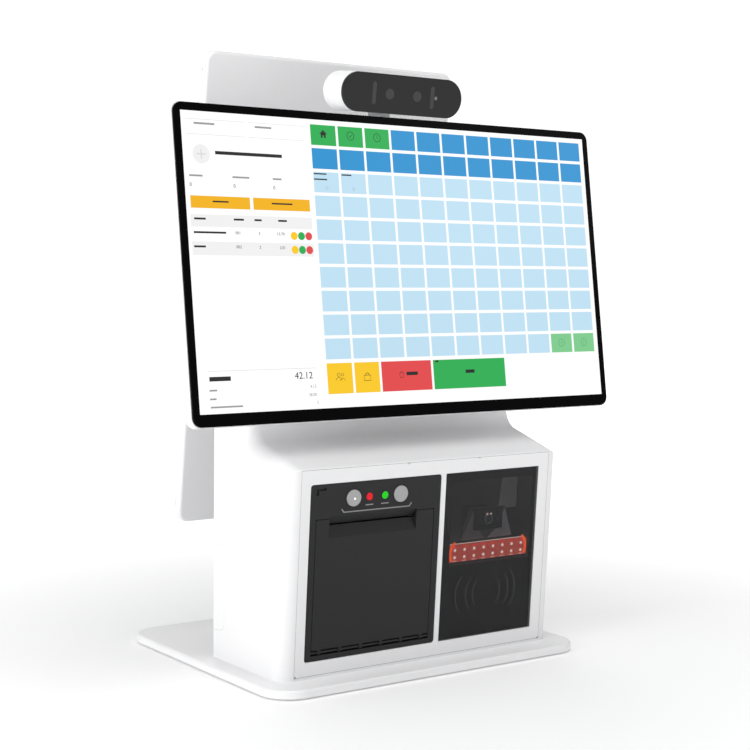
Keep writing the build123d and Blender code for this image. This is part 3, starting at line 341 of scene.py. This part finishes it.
def relief(name, place, heights, plates, lines, finish, body):
    """Thin printed shapes: plates are closed outlines, and a line is (points, width, closed)."""
    low, high = heights
    mesh = bmesh.new()
    for outline in plates:
        foot = [mesh.verts.new((x, y, low)) for x, y in outline]
        head = [mesh.verts.new((x, y, high)) for x, y in outline]
        mesh.faces.new(head)
        mesh.faces.new(foot[::-1])
        for index in range(len(outline)):
            after = (index + 1) % len(outline)
            mesh.faces.new((foot[index], foot[after], head[after], head[index]))
    for points, width, closed in lines:
        count = len(points)
        rows = []
        for index, point in enumerate(points):
            before = points[(index - 1) % count] if closed or index else point
            after = points[(index + 1) % count] if closed or index < count - 1 else point
            run = (Vector(after) - Vector(before)).normalized()
            side = Vector((-run.y, run.x)) * width / 2
            left, right = Vector(point) + side, Vector(point) - side
            corners = ((left, low), (right, low), (right, high), (left, high))
            rows.append([mesh.verts.new((*edge, z)) for edge, z in corners])
        for index in range(count if closed else count - 1):
            here, there = rows[index], rows[(index + 1) % count]
            for corner in range(4):
                beyond = (corner + 1) % 4
                mesh.faces.new((here[corner], here[beyond], there[beyond], there[corner]))
        if not closed:
            mesh.faces.new(rows[0][::-1])
            mesh.faces.new(rows[-1])
    bmesh.ops.recalc_face_normals(mesh, faces=mesh.faces)
    return keep(mesh, name, place, finish, body)


def box(x, y, width, height):
    """A rectangle's outline from its centre and size."""
    return [(x + i * width / 2, y + j * height / 2) for i, j in ((-1, -1), (1, -1), (1, 1), (-1, 1))]


def ring(x, y, radius, start=0.0, end=360.0, steps=28):
    """Points along an arc, or all the way round when it closes."""
    whole = end - start >= 360
    angles = [radians(start + (end - start) * k / (steps if whole else steps - 1)) for k in range(steps)]
    return [(x + radius * cos(a), y + radius * sin(a)) for a in angles]


# ---------------------------------------------------------------- the lit screen
# What the customer display shows: a till page with a list on the left and a field of keys on
# the right. It is light, so it glows, with the backlight's slow unevenness.
SCREEN_UP = 1.65
screen = panel("main_glass", (0, -1, 0)) @ Matrix.Translation((0, SCREEN_UP, 0))
PANEL = (409.8, 230.4)
PIXEL = 0.0002134


def lit(code, strength=1.0):
    """A lit screen colour, with the backlight's slow unevenness and the panel's pixel columns."""
    material, shader, wire = blank("screen " + code, Roughness=0.16, IOR=1.4, Emission_Strength=strength)
    spot = wire.node("ShaderNodeTexCoord", out=3)
    cloud = wire.noise(spot, 5.0)
    columns = wire.sum("SINE", wire.node("ShaderNodeSeparateXYZ", None, {"Vector": spot}) * (2 * pi / PIXEL))
    tint = linear(code)
    low = tuple(v * 0.94 for v in tint)
    level = 0.35 + 0.9 * cloud + 0.04 * columns
    feed(
        material,
        shader,
        Base_Color=cloud.blend(tuple(v * 0.02 for v in tint), tuple(v * 0.03 for v in tint)),
        Emission_Color=level.blend(low, tint),
    )
    return material


screen_white, ink, hairline = lit("ffffff"), lit("2a2a2a"), lit("d4d7d9")
band_grey, mid_grey = lit("efefef"), lit("9a9a9a")
green, blue, pale_blue, soft_green = lit("2fae55"), lit("2f93cf"), lit("bfe0f2"), lit("7fcb8e")
yellow, amber, red = lit("f9c925"), lit("f1b31d"), lit("e24b4d")
BACK, TILE, MARK = (-0.02, 0.05), (0.03, 0.10), (0.08, 0.14)


def drawn(name, heights, plates, lines, finish):
    return relief(name, screen, heights, plates, lines, finish, "customer_display")


drawn("screen_page", BACK, [box(0, 0, *PANEL)], [], screen_white)

# the field of keys: eleven columns and ten rows, in blocks of one colour
KEY = (24.2, 16.5)
PITCH = (26.47, 19.04)
FIRST_KEY = (-76.5, 102.95)


def key_field():
    """A node tree that sets one flat key on every point of a grid."""
    tree = bpy.data.node_groups.new("key field", "GeometryNodeTree")
    faces = tree.interface
    faces.new_socket("Geometry", in_out="OUTPUT", socket_type="NodeSocketGeometry")
    wanted = (
        ("Columns", "Int"),
        ("Rows", "Int"),
        ("Pitch", "Vector"),
        ("Key", "Vector"),
        ("Finish", "Material"),
    )
    sockets = {
        label: faces.new_socket(label, in_out="INPUT", socket_type="NodeSocket" + kind).identifier
        for label, kind in wanted
    }
    given = tree.nodes.new("NodeGroupInput")
    made = {
        label: tree.nodes.new(kind)
        for label, kind in (
            ("split", "ShaderNodeSeparateXYZ"),
            ("grid", "GeometryNodeMeshGrid"),
            ("key", "GeometryNodeMeshCube"),
            ("set", "GeometryNodeInstanceOnPoints"),
            ("real", "GeometryNodeRealizeInstances"),
            ("paint", "GeometryNodeSetMaterial"),
            ("out", "NodeGroupOutput"),
        )
    }
    join = tree.links.new
    join(given.outputs["Pitch"], made["split"].inputs[0])
    for index, label in enumerate(("Columns", "Rows")):
        span = tree.nodes.new("ShaderNodeMath")
        span.operation = "MULTIPLY_ADD"
        negative = tree.nodes.new("ShaderNodeMath")
        negative.operation = "MULTIPLY"
        negative.inputs[1].default_value = -1.0
        join(made["split"].outputs[index], negative.inputs[0])
        join(given.outputs[label], span.inputs[0])
        join(made["split"].outputs[index], span.inputs[1])
        join(negative.outputs[0], span.inputs[2])
        join(span.outputs[0], made["grid"].inputs["Size " + "XY"[index]])
        join(given.outputs[label], made["grid"].inputs["Vertices " + "XY"[index]])
    join(given.outputs["Key"], made["key"].inputs["Size"])
    join(made["grid"].outputs["Mesh"], made["set"].inputs["Points"])
    join(made["key"].outputs["Mesh"], made["set"].inputs["Instance"])
    join(made["set"].outputs[0], made["real"].inputs[0])
    join(made["real"].outputs[0], made["paint"].inputs["Geometry"])
    join(given.outputs["Finish"], made["paint"].inputs["Material"])
    join(made["paint"].outputs[0], made["out"].inputs[0])
    return tree, sockets


field_tree, field_sockets = key_field()


def grid_piece(name, place, centre, count, pitch, size, height, finish, body, slot):
    """Grows a block of equal flat keys and keeps it as a plain mesh in the panel's place."""
    seed = bpy.data.objects.new(name, bpy.data.meshes.new(name))
    scene.collection.objects.link(seed)
    grow = seed.modifiers.new("keys", "NODES")
    grow.node_group = field_tree
    values = (count[0], count[1], (*pitch, 0.0), (*size, height[1] - height[0]), finish)
    for label, value in zip(("Columns", "Rows", "Pitch", "Key", "Finish"), values):
        grow[field_sockets[label]] = value
    seed.update_tag()
    grown = bpy.data.meshes.new_from_object(seed.evaluated_get(bpy.context.evaluated_depsgraph_get()))
    bpy.data.objects.remove(seed)
    mesh = bmesh.new()
    mesh.from_mesh(grown)
    bpy.data.meshes.remove(grown)
    middle = Vector((*centre, (height[0] + height[1]) / 2))
    return keep(mesh, name, place @ Matrix.Translation(middle), finish, body)


key_blocks = (
    ("keys_green", 0, 0, 3, 1, green),
    ("keys_blue_top", 3, 0, 8, 1, blue),
    ("keys_blue", 0, 1, 11, 1, blue),
    ("keys_products", 0, 2, 11, 7, pale_blue),
    ("keys_last_row", 0, 9, 9, 1, pale_blue),
    ("keys_return", 9, 9, 2, 1, soft_green),
)
for name, column, row, columns, rows, finish in key_blocks:
    centre = (
        FIRST_KEY[0] + (column + (columns - 1) / 2) * PITCH[0],
        FIRST_KEY[1] - (row + (rows - 1) / 2) * PITCH[1],
    )
    sizes = ((columns, rows), PITCH, KEY, TILE)
    grid_piece(name, screen, centre, *sizes, finish, "customer_display", "display_panel")

# the wide keys under the field: two yellow ones, a red one and a green one
WIDE_UP = -92.0
WIDE_HIGH = 24.4
wide_keys = (
    ("keys_yellow", 0, 1, yellow),
    ("keys_lock", 1, 1, yellow),
    ("keys_red", 2, 2, red),
    ("keys_pay", 4, 3, green),
)
for name, column, columns, finish in wide_keys:
    middle = FIRST_KEY[0] + (column + (columns - 1) / 2) * PITCH[0]
    width = KEY[0] + (columns - 1) * PITCH[0]
    drawn(name, TILE, [box(middle, WIDE_UP, width, WIDE_HIGH)], [], finish)

# the list side: two entry boxes, the amber keys, a header band, two rows and their round keys
LIST_LEFT, LIST_RIGHT = -201.0, -94.0
list_mid, list_wide = (LIST_LEFT + LIST_RIGHT) / 2, LIST_RIGHT - LIST_LEFT
half_wide = (list_wide - 3.0) / 2
halves = (LIST_LEFT + half_wide / 2, LIST_RIGHT - half_wide / 2)
BOX_UP, AMBER_UP, HEADER_UP, ROW_UPS = 103.2, 45.6, 31.4, (21.2, 10.2)
drawn("screen_boxes", TILE, [], [(box(x, BOX_UP, half_wide, 11.6), 0.35, True) for x in halves], hairline)
drawn("keys_amber", TILE, [box(x, AMBER_UP, half_wide, 9.4) for x in halves], [], amber)
bands = [box(list_mid, HEADER_UP, list_wide + 2, 9.4), box(list_mid, ROW_UPS[1], list_wide + 2, 10.4)]
drawn("screen_bands", TILE, bands, [], band_grey)
row_dots = (("dots_yellow", -110.6, yellow), ("dots_green", -103.8, green), ("dots_red", -97.0, red))
for name, x, finish in row_dots:
    drawn(name, MARK, [ring(x, up, 3.2) for up in ROW_UPS], [], finish)
PERSON = (-189.2, 82.3)
drawn("screen_badge", TILE, [ring(*PERSON, 7.4, steps=40)], [], band_grey)
plus = [box(*PERSON, 7.6, 0.9), box(*PERSON, 0.9, 7.6)]
drawn("screen_plus", MARK, plus[:1], [], hairline)
drawn("screen_plus_post", (0.07, 0.13), plus[1:], [], hairline)
drawn("screen_rule", TILE, [box(-147.5, -83.0, 98.0, 0.4)], [], hairline)

# words are only bars of ink, and the few numbers are plain figures
bars_dark = [box(-147.0, 83.9, 60.0, 2.6)]
header_words = ((-194.0, 10), (-160.0, 9), (-142.8, 6.5), (-120.5, 8))
bars_dark += [box(x, HEADER_UP + 1.4, width, 1.5) for x, width in header_words]
bars_dark += [box(-186.0, ROW_UPS[0] + 1.2, 28.0, 1.5), box(-195.5, ROW_UPS[1] + 1.4, 10.0, 1.5)]
bars_dark += [box(-185.8, -88.9, 18.6, 3.4)]
bars_dark += [box(x, WIDE_UP + 1.8, width, 2.8) for x, width in ((-5.0, 11.5), (56.0, 9.6))]
bars_dark += [box(21.4, -81.0, 3.4, 1.4)]
bars_dark += [box(-82.0, up, width, 1.1) for up, width in ((71.6, 12.0), (67.2, 12.5))]
bars_dark += [box(-56.6, 71.6, 9.6, 1.1)]
bars_dark += [box(x, AMBER_UP + 0.6, width, 1.2) for x, width in ((-175.0, 14.0), (-119.8, 19.0))]
drawn("ink_bars", MARK, bars_dark, [], ink)
bars_pale = [box(x, 65.6, width, 1.4) for x, width in ((-195.0, 11.5), (-155.6, 15.0), (-122.8, 8.0))]
bars_pale += [box(x, BOX_UP + 2.6, width, 1.5) for x, width in ((-185.0, 18.0), (-132.6, 15.0))]
bars_pale += [box(-192.3, -97.5, 6.6, 1.3), box(-192.8, -104.0, 5.6, 1.3), box(-181.4, -110.2, 28.0, 1.3)]
drawn("pale_bars", MARK, bars_pale, [], mid_grey)

figures = (
    ("42.12", -110.6, -88.9, 5.6, ink),
    ("4.12", -102.4, -97.5, 2.5, mid_grey),
    ("38.00", -103.4, -104.0, 2.5, mid_grey),
    ("5", -99.0, -110.2, 2.5, mid_grey),
    ("0", -200.0, 58.6, 2.9, ink),
    ("0", -161.8, 58.6, 2.9, ink),
    ("0", -126.0, 58.6, 2.9, ink),
    ("001", -161.4, ROW_UPS[0] + 1.2, 2.4, ink),
    ("002", -161.4, ROW_UPS[1] + 1.4, 2.4, ink),
    ("3", -142.4, ROW_UPS[0] + 1.2, 2.4, ink),
    ("2", -142.4, ROW_UPS[1] + 1.4, 2.4, ink),
    ("12.70", -123.0, ROW_UPS[0] + 1.2, 2.4, ink),
    ("2.01", -122.0, ROW_UPS[1] + 1.4, 2.4, ink),
)


def figure(name, text, x, y, height, finish):
    """A number in plain figures, centred on its spot, cut from a text curve into a thin mesh."""
    curve = bpy.data.curves.new(name, "FONT")
    curve.body = text
    curve.align_x, curve.align_y = "CENTER", "CENTER"
    curve.size = height * 1.35
    curve.extrude = 0.03
    writer = bpy.data.objects.new(name, curve)
    scene.collection.objects.link(writer)
    cut = bpy.data.meshes.new_from_object(writer.evaluated_get(bpy.context.evaluated_depsgraph_get()))
    bpy.data.objects.remove(writer)
    mesh = bmesh.new()
    mesh.from_mesh(cut)
    bpy.data.meshes.remove(cut)
    bmesh.ops.remove_doubles(mesh, verts=mesh.verts, dist=0.0001)
    bmesh.ops.translate(mesh, verts=mesh.verts, vec=(x, y, 0.11))
    keep(mesh, name, screen, finish, "customer_display")


for index, (text, x, y, height, finish) in enumerate(figures):
    figure(f"figure_{index:02d}", text, x, y, height, finish)

# line drawings on the keys: a house, two marks in rings, two people, a lock and a basket
THIN, FINE = 0.45, 0.3
icon_up = FIRST_KEY[1] + 0.9
columns_x = [FIRST_KEY[0] + index * PITCH[0] for index in range(3)]
house_x = columns_x[0]
roof = [(house_x - 3.2, icon_up), (house_x, icon_up + 3.2), (house_x + 3.2, icon_up)]
house_feet = ((-2.3, -3.0), (-0.7, -3.0), (-0.7, -1.0), (0.7, -1.0), (0.7, -3.0), (2.3, -3.0))
house_head = ((2.3, 0.4), (0, 2.6), (-2.3, 0.4))
walls = [(house_x + i, icon_up + j) for i, j in house_feet + house_head]
drawn("icon_house", MARK, [walls], [], ink)
drawn("icon_roof", (0.085, 0.15), [], [(roof, 0.7, False)], ink)
tick = [(columns_x[1] + i, icon_up + j) for i, j in ((-1.5, 0.1), (-0.4, -1.0), (1.6, 1.2))]
hands = [(columns_x[2], icon_up + 2.0), (columns_x[2], icon_up), (columns_x[2] + 1.4, icon_up - 0.6)]
rings = [(ring(x, icon_up, 3.4), THIN, True) for x in columns_x[1:]]
drawn("icon_rings", MARK, [], rings + [(tick, THIN, False), (hands, THIN, False)], ink)
return_up = FIRST_KEY[1] - 9 * PITCH[1] + 0.2
return_x = [FIRST_KEY[0] + column * PITCH[0] for column in (9, 10)]
rings = [(ring(x, return_up, 3.3), FINE, True) for x in return_x]
arrows = [
    ([(x + way * i, return_up + j) for i, j in ((0.8, 1.3), (-0.8, 0), (0.8, -1.3))], FINE, False)
    for x, way in zip(return_x, (1, -1))
]
drawn("icon_returns", MARK, [], rings + arrows, lit("3f8a52"))
people = []
for x, size in ((house_x - 1.3, 1.0), (house_x + 2.4, 0.8)):
    people.append((ring(x, WIDE_UP + 2.9, 1.4 * size, steps=16), FINE, True))
    people.append((ring(x, WIDE_UP - 2.3, 3.0 * size, 10, 170, 12), FINE, False))
drawn("icon_people", MARK, [], people, ink)
lock_x = columns_x[1]
shackle = ring(lock_x, WIDE_UP + 1.7, 1.8, 0, 180, 12)
lock_body = box(lock_x, WIDE_UP - 0.4, 6.4, 4.2)
drawn("icon_lock", MARK, [], [(lock_body, THIN, True), (shackle, THIN, False)], ink)
basket_x = -15.6
basket = [(basket_x + i, WIDE_UP + 1.4 + j) for i, j in ((-2.2, 1.0), (2.2, 1.0), (1.7, -2.6), (-1.7, -2.6))]
handle = ring(basket_x, WIDE_UP + 2.4, 1.4, 0, 180, 10)
drawn("icon_basket", MARK, [], [(basket, THIN, True), (handle, FINE, False)], ink)
entry_rings = [(ring(x, 60.4, 1.1, steps=14), 0.25, True) for x in (-76.4, -50.2)]
drawn("icon_entry", MARK, [], entry_rings, mid_grey)

# ---------------------------------------------------------------- rear display screen
# The portrait display that faces the shop's side. It has a quiet page: a dark header band,
# a column of list rows and one wide key, all lit from behind.
rear_screen = panel("rear_glass", (0, 1, 0))
REAR_PANEL = (242.0, 387.0)
REAR_HEADER, REAR_ROW, REAR_ROWS = 34.0, 22.0, 8


def rear_drawn(name, heights, plates, finish):
    return relief(name, rear_screen, heights, plates, [], finish, "rear_display")


rear_drawn("rear_page", BACK, [box(0, 0, *REAR_PANEL)], screen_white)
rear_top = REAR_PANEL[1] / 2
rear_drawn("rear_header", TILE, [box(0, rear_top - REAR_HEADER / 2, REAR_PANEL[0], REAR_HEADER)], blue)
first_row = rear_top - REAR_HEADER - 20
row_size = (REAR_PANEL[0] - 20, REAR_ROW - 4)
rows_middle = first_row - (REAR_ROWS - 1) * REAR_ROW / 2
rows_at = (rear_screen, (0, rows_middle), (1, REAR_ROWS), (1.0, REAR_ROW), row_size, TILE)
grid_piece("rear_rows", *rows_at, band_grey, "rear_display", "display_panel")
mark_widths = [60 - 6 * (index % 3) for index in range(REAR_ROWS)]
row_marks = [
    box(width / 2 - 100, first_row - index * REAR_ROW, width, 2.6) for index, width in enumerate(mark_widths)
]
row_marks += [box(90, first_row - index * REAR_ROW, 18, 2.6) for index in range(REAR_ROWS)]
rear_drawn("rear_marks", MARK, row_marks, mid_grey)
rear_drawn("rear_key", TILE, [box(0, 34 - rear_top, REAR_PANEL[0] - 20, 40)], green)
rear_drawn("rear_key_mark", MARK, [box(0, 34 - rear_top, 46, 5)], screen_white)
rear_drawn("rear_total", MARK, [box(-75, 76 - rear_top, 50, 5), box(75, 76 - rear_top, 50, 5)], ink)

# ---------------------------------------------------------------- receipt printer
# A clamshell printer in black satin plastic. Two grey keys and two lamps sit above the paper
# slot, with a pale printed line under them that turns up at its ends.
printer_black = moulded(
    "black printer plastic", "202021", 0.52, grain=2600.0, depth=0.22, mottle=0.06, Specular_IOR_Level=0.3
)
inner_black = moulded("black inner plastic", "0c0c0c", 0.6, grain=1300.0, depth=0.2, mottle=0.08)
key_grey = moulded("grey key plastic", "a6a6a7", 0.4, grain=2600.0, depth=0.12, mottle=0.04)
print_grey = moulded("grey print", "8a8a8b", 0.5, grain=2600.0, depth=0.05, mottle=0.05)
dress(printer_black, "printer_fascia", "printer_door")
dress(inner_black, "printer_body", "cutter_housing")
dress(key_grey, "feed_button", "open_button")
dress(print_grey, "button_trim")
acetal = moulded("natural acetal", "e6e2d6", 0.45, grain=1400.0, mottle=0.05)
dress(acetal, "platen_gear", "drive_gear", "motor_pinion")
dress(moulded("ground rubber", "1a1a1b", 0.7, grain=1800.0, depth=0.3, mottle=0.1), "platen_roller")
dress(rolled_metal("motor can", "a9acb0", 0.38), "feed_motor")

# thermal paper is wound in thousands of turns, which show as rings on the roll's ends
paper, paper_shader, wire = blank("thermal paper", Sheen_Weight=0.1)
low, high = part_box("paper_roll")
roll_middle = [(a + b) / 2 for a, b in zip(low, high)]
spot = wire.node("ShaderNodeTexCoord", out=3)
centred = wire.node("ShaderNodeVectorMath", {"operation": "SUBTRACT"}, {0: spot, 1: (0, *roll_middle[1:])})
flat = wire.node("ShaderNodeVectorMath", {"operation": "MULTIPLY"}, {0: centred, 1: (0, 1, 1)})
radius = wire.node("ShaderNodeVectorMath", {"operation": "LENGTH"}, {0: flat}, out=1)
turns = wire.sum("SINE", radius * 9000.0) * 0.5 + 0.5
fibre = wire.noise(spot, 900.0, 3.0)
feed(
    paper,
    paper_shader,
    Base_Color=(0.7 * turns + 0.3 * fibre).blend(linear("dcdbd6"), linear("f4f3ef")),
    Roughness=0.75 + 0.1 * fibre,
    Normal=wire.node("ShaderNodeBump", None, {"Strength": 0.2, "Distance": 0.0001, "Height": turns}),
)
dress(paper, "paper_roll")
dress(moulded("rolled card", "a98f6c", 0.85, grain=600.0, depth=0.3, mottle=0.12), "roll_core")

face = panel("front_frame", (0, -1, 0))
FACE_MIDDLE_UP = 90.8
SET_IN = 0.4


def on_face(name, depth, plates, lines, finish, body="base"):
    """Shapes drawn in millimetres across and up the front, from the fold of the panel's plane."""
    place = face @ Matrix.Translation((0, -FACE_MIDDLE_UP, -SET_IN))
    return relief(name, place, depth, plates, lines, finish, body)


# painted shade in the seam round the front panel, where it clips into the shell: a thin grey line
seam_shade = moulded("seam shade", "a4a4a5", 0.6, grain=1800.0, depth=0.05, mottle=0.05)
seam = [(box(0, FACE_MIDDLE_UP, 252.3, 164.3), 0.42, True)]
on_face("panel_seam", (0.3, 0.42), [], seam, seam_shade)

# each lamp has a moulded rim, each key a shallow ring, and plain bars stand for the legends
KEY_UP = 148.2
lamp_x, key_x = (-61.0, -45.8), (-76.4, -30.4)
rims = [(ring(x, KEY_UP, 3.45, steps=32), 0.5, True) for x in lamp_x]
rims += [(ring(x, KEY_UP, 7.4, steps=48), 0.5, True) for x in key_x]
on_face("key_rims", (-0.1, 0.12), [], rims, inner_black)
on_face("lamp_legends", (-0.05, 0.06), [box(x, KEY_UP - 6.5, 7.4, 0.9) for x in lamp_x], [], print_grey)

# the door's hinge pin shows between its knuckles, so its steel is blackened
blacked = moulded("blackened pin steel", "141415", 0.5, grain=2400.0, depth=0.03, mottle=0.05)
dress(blacked, "door_hinge_pin")

# the release slot's floor, drawn in darker black as painted shadow
slot_shadow = [box(-107.3, 157.2, 8.6, 1.9), box(-110.7, 155.0, 1.9, 4.6)]
on_face("release_slot_shadow", (-1.18, -1.1), slot_shadow, [], inner_black)


def lamp(name, code, strength):
    """A coloured lens lit from behind, with fine facets across it."""
    material, shader, wire = blank(name, Emission_Strength=strength, Specular_IOR_Level=0.25)
    spot = wire.node("ShaderNodeTexCoord", out=3)
    facets = wire.noise(spot, 900.0, 1.0)
    tint = linear(code)
    dim = tuple(v * 0.6 for v in tint)
    feed(
        material,
        shader,
        Base_Color=facets.blend(dim, tint),
        Emission_Color=facets.blend(dim, tint),
        Roughness=0.2 + 0.1 * facets,
    )
    return material


dress(lamp("red lamp", "d60016", 0.5), "red_led")
dress(lamp("green lamp", "10b406", 0.75), "green_led")
pale_lamp = lamp("white key lamp", "ffffff", 0.9)
dot = [ring(key_x[0] + 0.4, KEY_UP - 0.4, 0.9, steps=16)]
on_face("feed_key_dot", (1.15, 1.28), dot, [], pale_lamp, "feed_button")

# ---------------------------------------------------------------- scanner
# A sheet of smoke-tinted acrylic covers a black cavity: a grey light spreader, a bar of red lamps
# below it and the scan engine with its coated lens. Fine arcs mark the card reader.
smoke, smoke_shader, wire = blank("smoke acrylic", Alpha=0.48, Specular_IOR_Level=0.3)
spot = wire.node("ShaderNodeTexCoord", out=3)
film = wire.noise(spot, 30.0, 3.0)
feed(
    smoke,
    smoke_shader,
    Base_Color=film.blend(linear("202021"), linear("28282a")),
    Roughness=0.08 + 0.1 * film,
)
dress(smoke, "scanner_glass")
dress(inner_black, "scanner_mask", "scan_housing", "scan_engine")
dress(moulded("grey spreader", "5c5c60", 0.35, grain=900.0, depth=0.1, mottle=0.06), "light_reflector")
coated, coated_shader, wire = blank("coated lens", Coat_Weight=1.0, Coat_Roughness=0.02)
spot = wire.node("ShaderNodeTexCoord", out=3)
bloom = wire.node("ShaderNodeLayerWeight", None, {"Blend": 0.35}, out=1)
feed(
    coated,
    coated_shader,
    Base_Color=bloom.blend(linear("23262c"), linear("4c5560")),
    Roughness=0.06 + 0.05 * wire.noise(spot, 500.0),
)
dress(coated, "scan_lens")
dress(lamp("red light bar", "dc5a4c", 1.3), "red_light_bar")
bright_spot = lamp("bright lamp domes and highlights", "ffe6df", 2.2)
dress(bright_spot, "scan_leds")

# each lamp shows as a round bright spot on the bar's front; the glints above and below each column and the
# amber flare past each end are painted reflections that glow
BAR_MIDDLE, LAMP_PITCH, LAMP_COUNT, BAR_FRONT = (68.5, 91.2), (10.3, 6.2), (8, 2), -4.8
lamp_columns, lamp_rows = (
    [middle + (index - (count - 1) / 2) * pitch for index in range(count)]
    for middle, pitch, count in zip(BAR_MIDDLE, LAMP_PITCH, LAMP_COUNT)
)
lamp_spots = [ring(x, up, 1.25, steps=16) for x in lamp_columns for up in lamp_rows]
on_face("scan_lamp_spots", (BAR_FRONT, BAR_FRONT + 0.2), lamp_spots, [], bright_spot)
# painted reflections of the lamps on the bar's edges: they glow, though they are no lamps
upper_glints = [box(x, BAR_MIDDLE[1] + 6.0, 3.6, 1.3) for x in lamp_columns]
lower_glints = [box(x, BAR_MIDDLE[1] - 6.2, 4.2, 0.9) for x in lamp_columns]
GLINT = (BAR_FRONT, BAR_FRONT + 0.15)
on_face("scan_upper_glints", GLINT, upper_glints, [], lamp("red glint", "ff3c2c", 2.0))
on_face("scan_lower_glints", GLINT, lower_glints, [], lamp("pale glint", "ffb4a8", 1.5))
# painted glints: amber arcs past the bar's ends that glow, though they are no lamps
FLARE = (BAR_FRONT + 0.15, BAR_FRONT + 0.3)
flares = [(ring(x, 91.5, 12.0, *turn, 12), 2.4, False) for x, turn in ((39.5, (128, 212)), (97.5, (-32, 52)))]
on_face("scan_flares", FLARE, [], flares, lamp("amber flare", "ff5a1c", 2.6))

# the spreader's two wings below the engine are flat patches of painted light, the right one paler, and its
# lens shows as a pale ring
WING = (-8.45, -8.3)
left_wing = [(41.0, 101.0), (67.5, 101.0), (58.5, 109.5), (53.0, 125.0)]
right_wing = [(69.5, 101.0), (96.5, 101.0), (87.5, 125.5), (79.5, 109.5)]
dim_wing_light, bright_wing_light = moulded("dim painted wing light", "9a9aa0", 0.35), moulded("bright painted wing light", "c8c8d2", 0.3)
on_face("spreader_wing_left", WING, [left_wing], [], dim_wing_light)
on_face("spreader_wing_right", WING, [right_wing], [], bright_wing_light)
LENS_AT, LENS_FRONT = (68.5, 118.0), (-6.15, -6.05)
lens_ring = [(ring(*LENS_AT, 4.0, steps=28), 0.7, True)]
on_face("engine_lens_ring", LENS_FRONT, [], lens_ring, moulded("pale ring", "a9b4b6", 0.3))
# two bright dots above the lens are painted highlights that glow
lens_highlights = [ring(LENS_AT[0] + x, LENS_AT[1] + 4.2, 0.85, steps=12) for x in (-2.0, 2.0)]
on_face("engine_lens_highlights", (-6.0, -5.9), lens_highlights, [], bright_spot)
# a pale patch on the cavity's back wall, seen through the glass, is painted light
sheen_patch = [[(92.0, 122.0), (112.0, 122.0), (112.0, 152.0), (95.0, 152.0)]]
lit_wall = moulded("lit cavity wall", "d0d0d4", 0.4)
on_face("cavity_sheen", (-22.1, -21.9), sheen_patch, [], lit_wall)


def contact_arcs():
    """Three bowed lines each side of the card reader's place, the outer ones longer."""
    lines = []
    for middle, way, spots in ((62.0, -1, (31.2, 42.2, 49.6)), (62.0, 1, (79.4, 88.8, 96.2))):
        for x, half in zip(spots, (15.0, 12.8, 10.2) if way < 0 else (10.2, 12.8, 15.0)):
            bow = half * 1.5
            centre_x = x - way * bow
            reach = degrees(asin(half / bow))
            turn = 0 if way > 0 else 180
            lines.append((ring(centre_x, 57.0, bow, turn - reach, turn + reach, 14), 1.3, False))
    return lines


arc_black = moulded("dark arc print", "0b0b0c", 0.3, grain=2200.0, depth=0.05, mottle=0.08)
on_face("card_arcs", (-0.02, 0.05), [], contact_arcs(), arc_black)

# ---------------------------------------------------------------- camera
# A pill-shaped pod behind dark acrylic, with two lenses and two light slots that show a shade paler through
# its face, and a small sensor drawn pale as a painted highlight.
pod_face = moulded(
    "dark pod acrylic", "222223", 0.34, grain=2400.0, depth=0.03, mottle=0.04, Specular_IOR_Level=0.3
)
dress(pod_face, "camera_glass")
dress(coated, "camera_optics")
pod = panel("camera_glass", (0, -1, 0))
paler = moulded("paler window", "363638", 0.30, grain=2000.0, depth=0.03, mottle=0.08)
LENS_X, SLOT_X, SLOT_HALF = 14.0, 29.6, 7.3


def pill_outline(x, half, radius):
    return ring(x, half, radius, 0, 180, 14) + ring(x, -half, radius, 180, 360, 14)


def on_pod(name, depth, plates, lines, finish):
    return relief(name, pod, depth, plates, lines, finish, "camera")


BOTH_SIDES = (-1, 1)
pod_slots = [pill_outline(side * SLOT_X, SLOT_HALF, 1.9) for side in BOTH_SIDES]
on_pod("pod_slots", (-0.02, 0.05), pod_slots, [], paler)
on_pod("pod_lenses", (-0.02, 0.05), [ring(side * LENS_X, 0, 4.3, steps=36) for side in BOTH_SIDES], [], paler)
# the sensor's pale disc is a painted highlight
sensor_highlight = moulded("sensor highlight", "6f6f71", 0.3)
on_pod("pod_sensor", (0.03, 0.08), [ring(33.4, -0.2, 1.5, steps=20)], [], sensor_highlight)
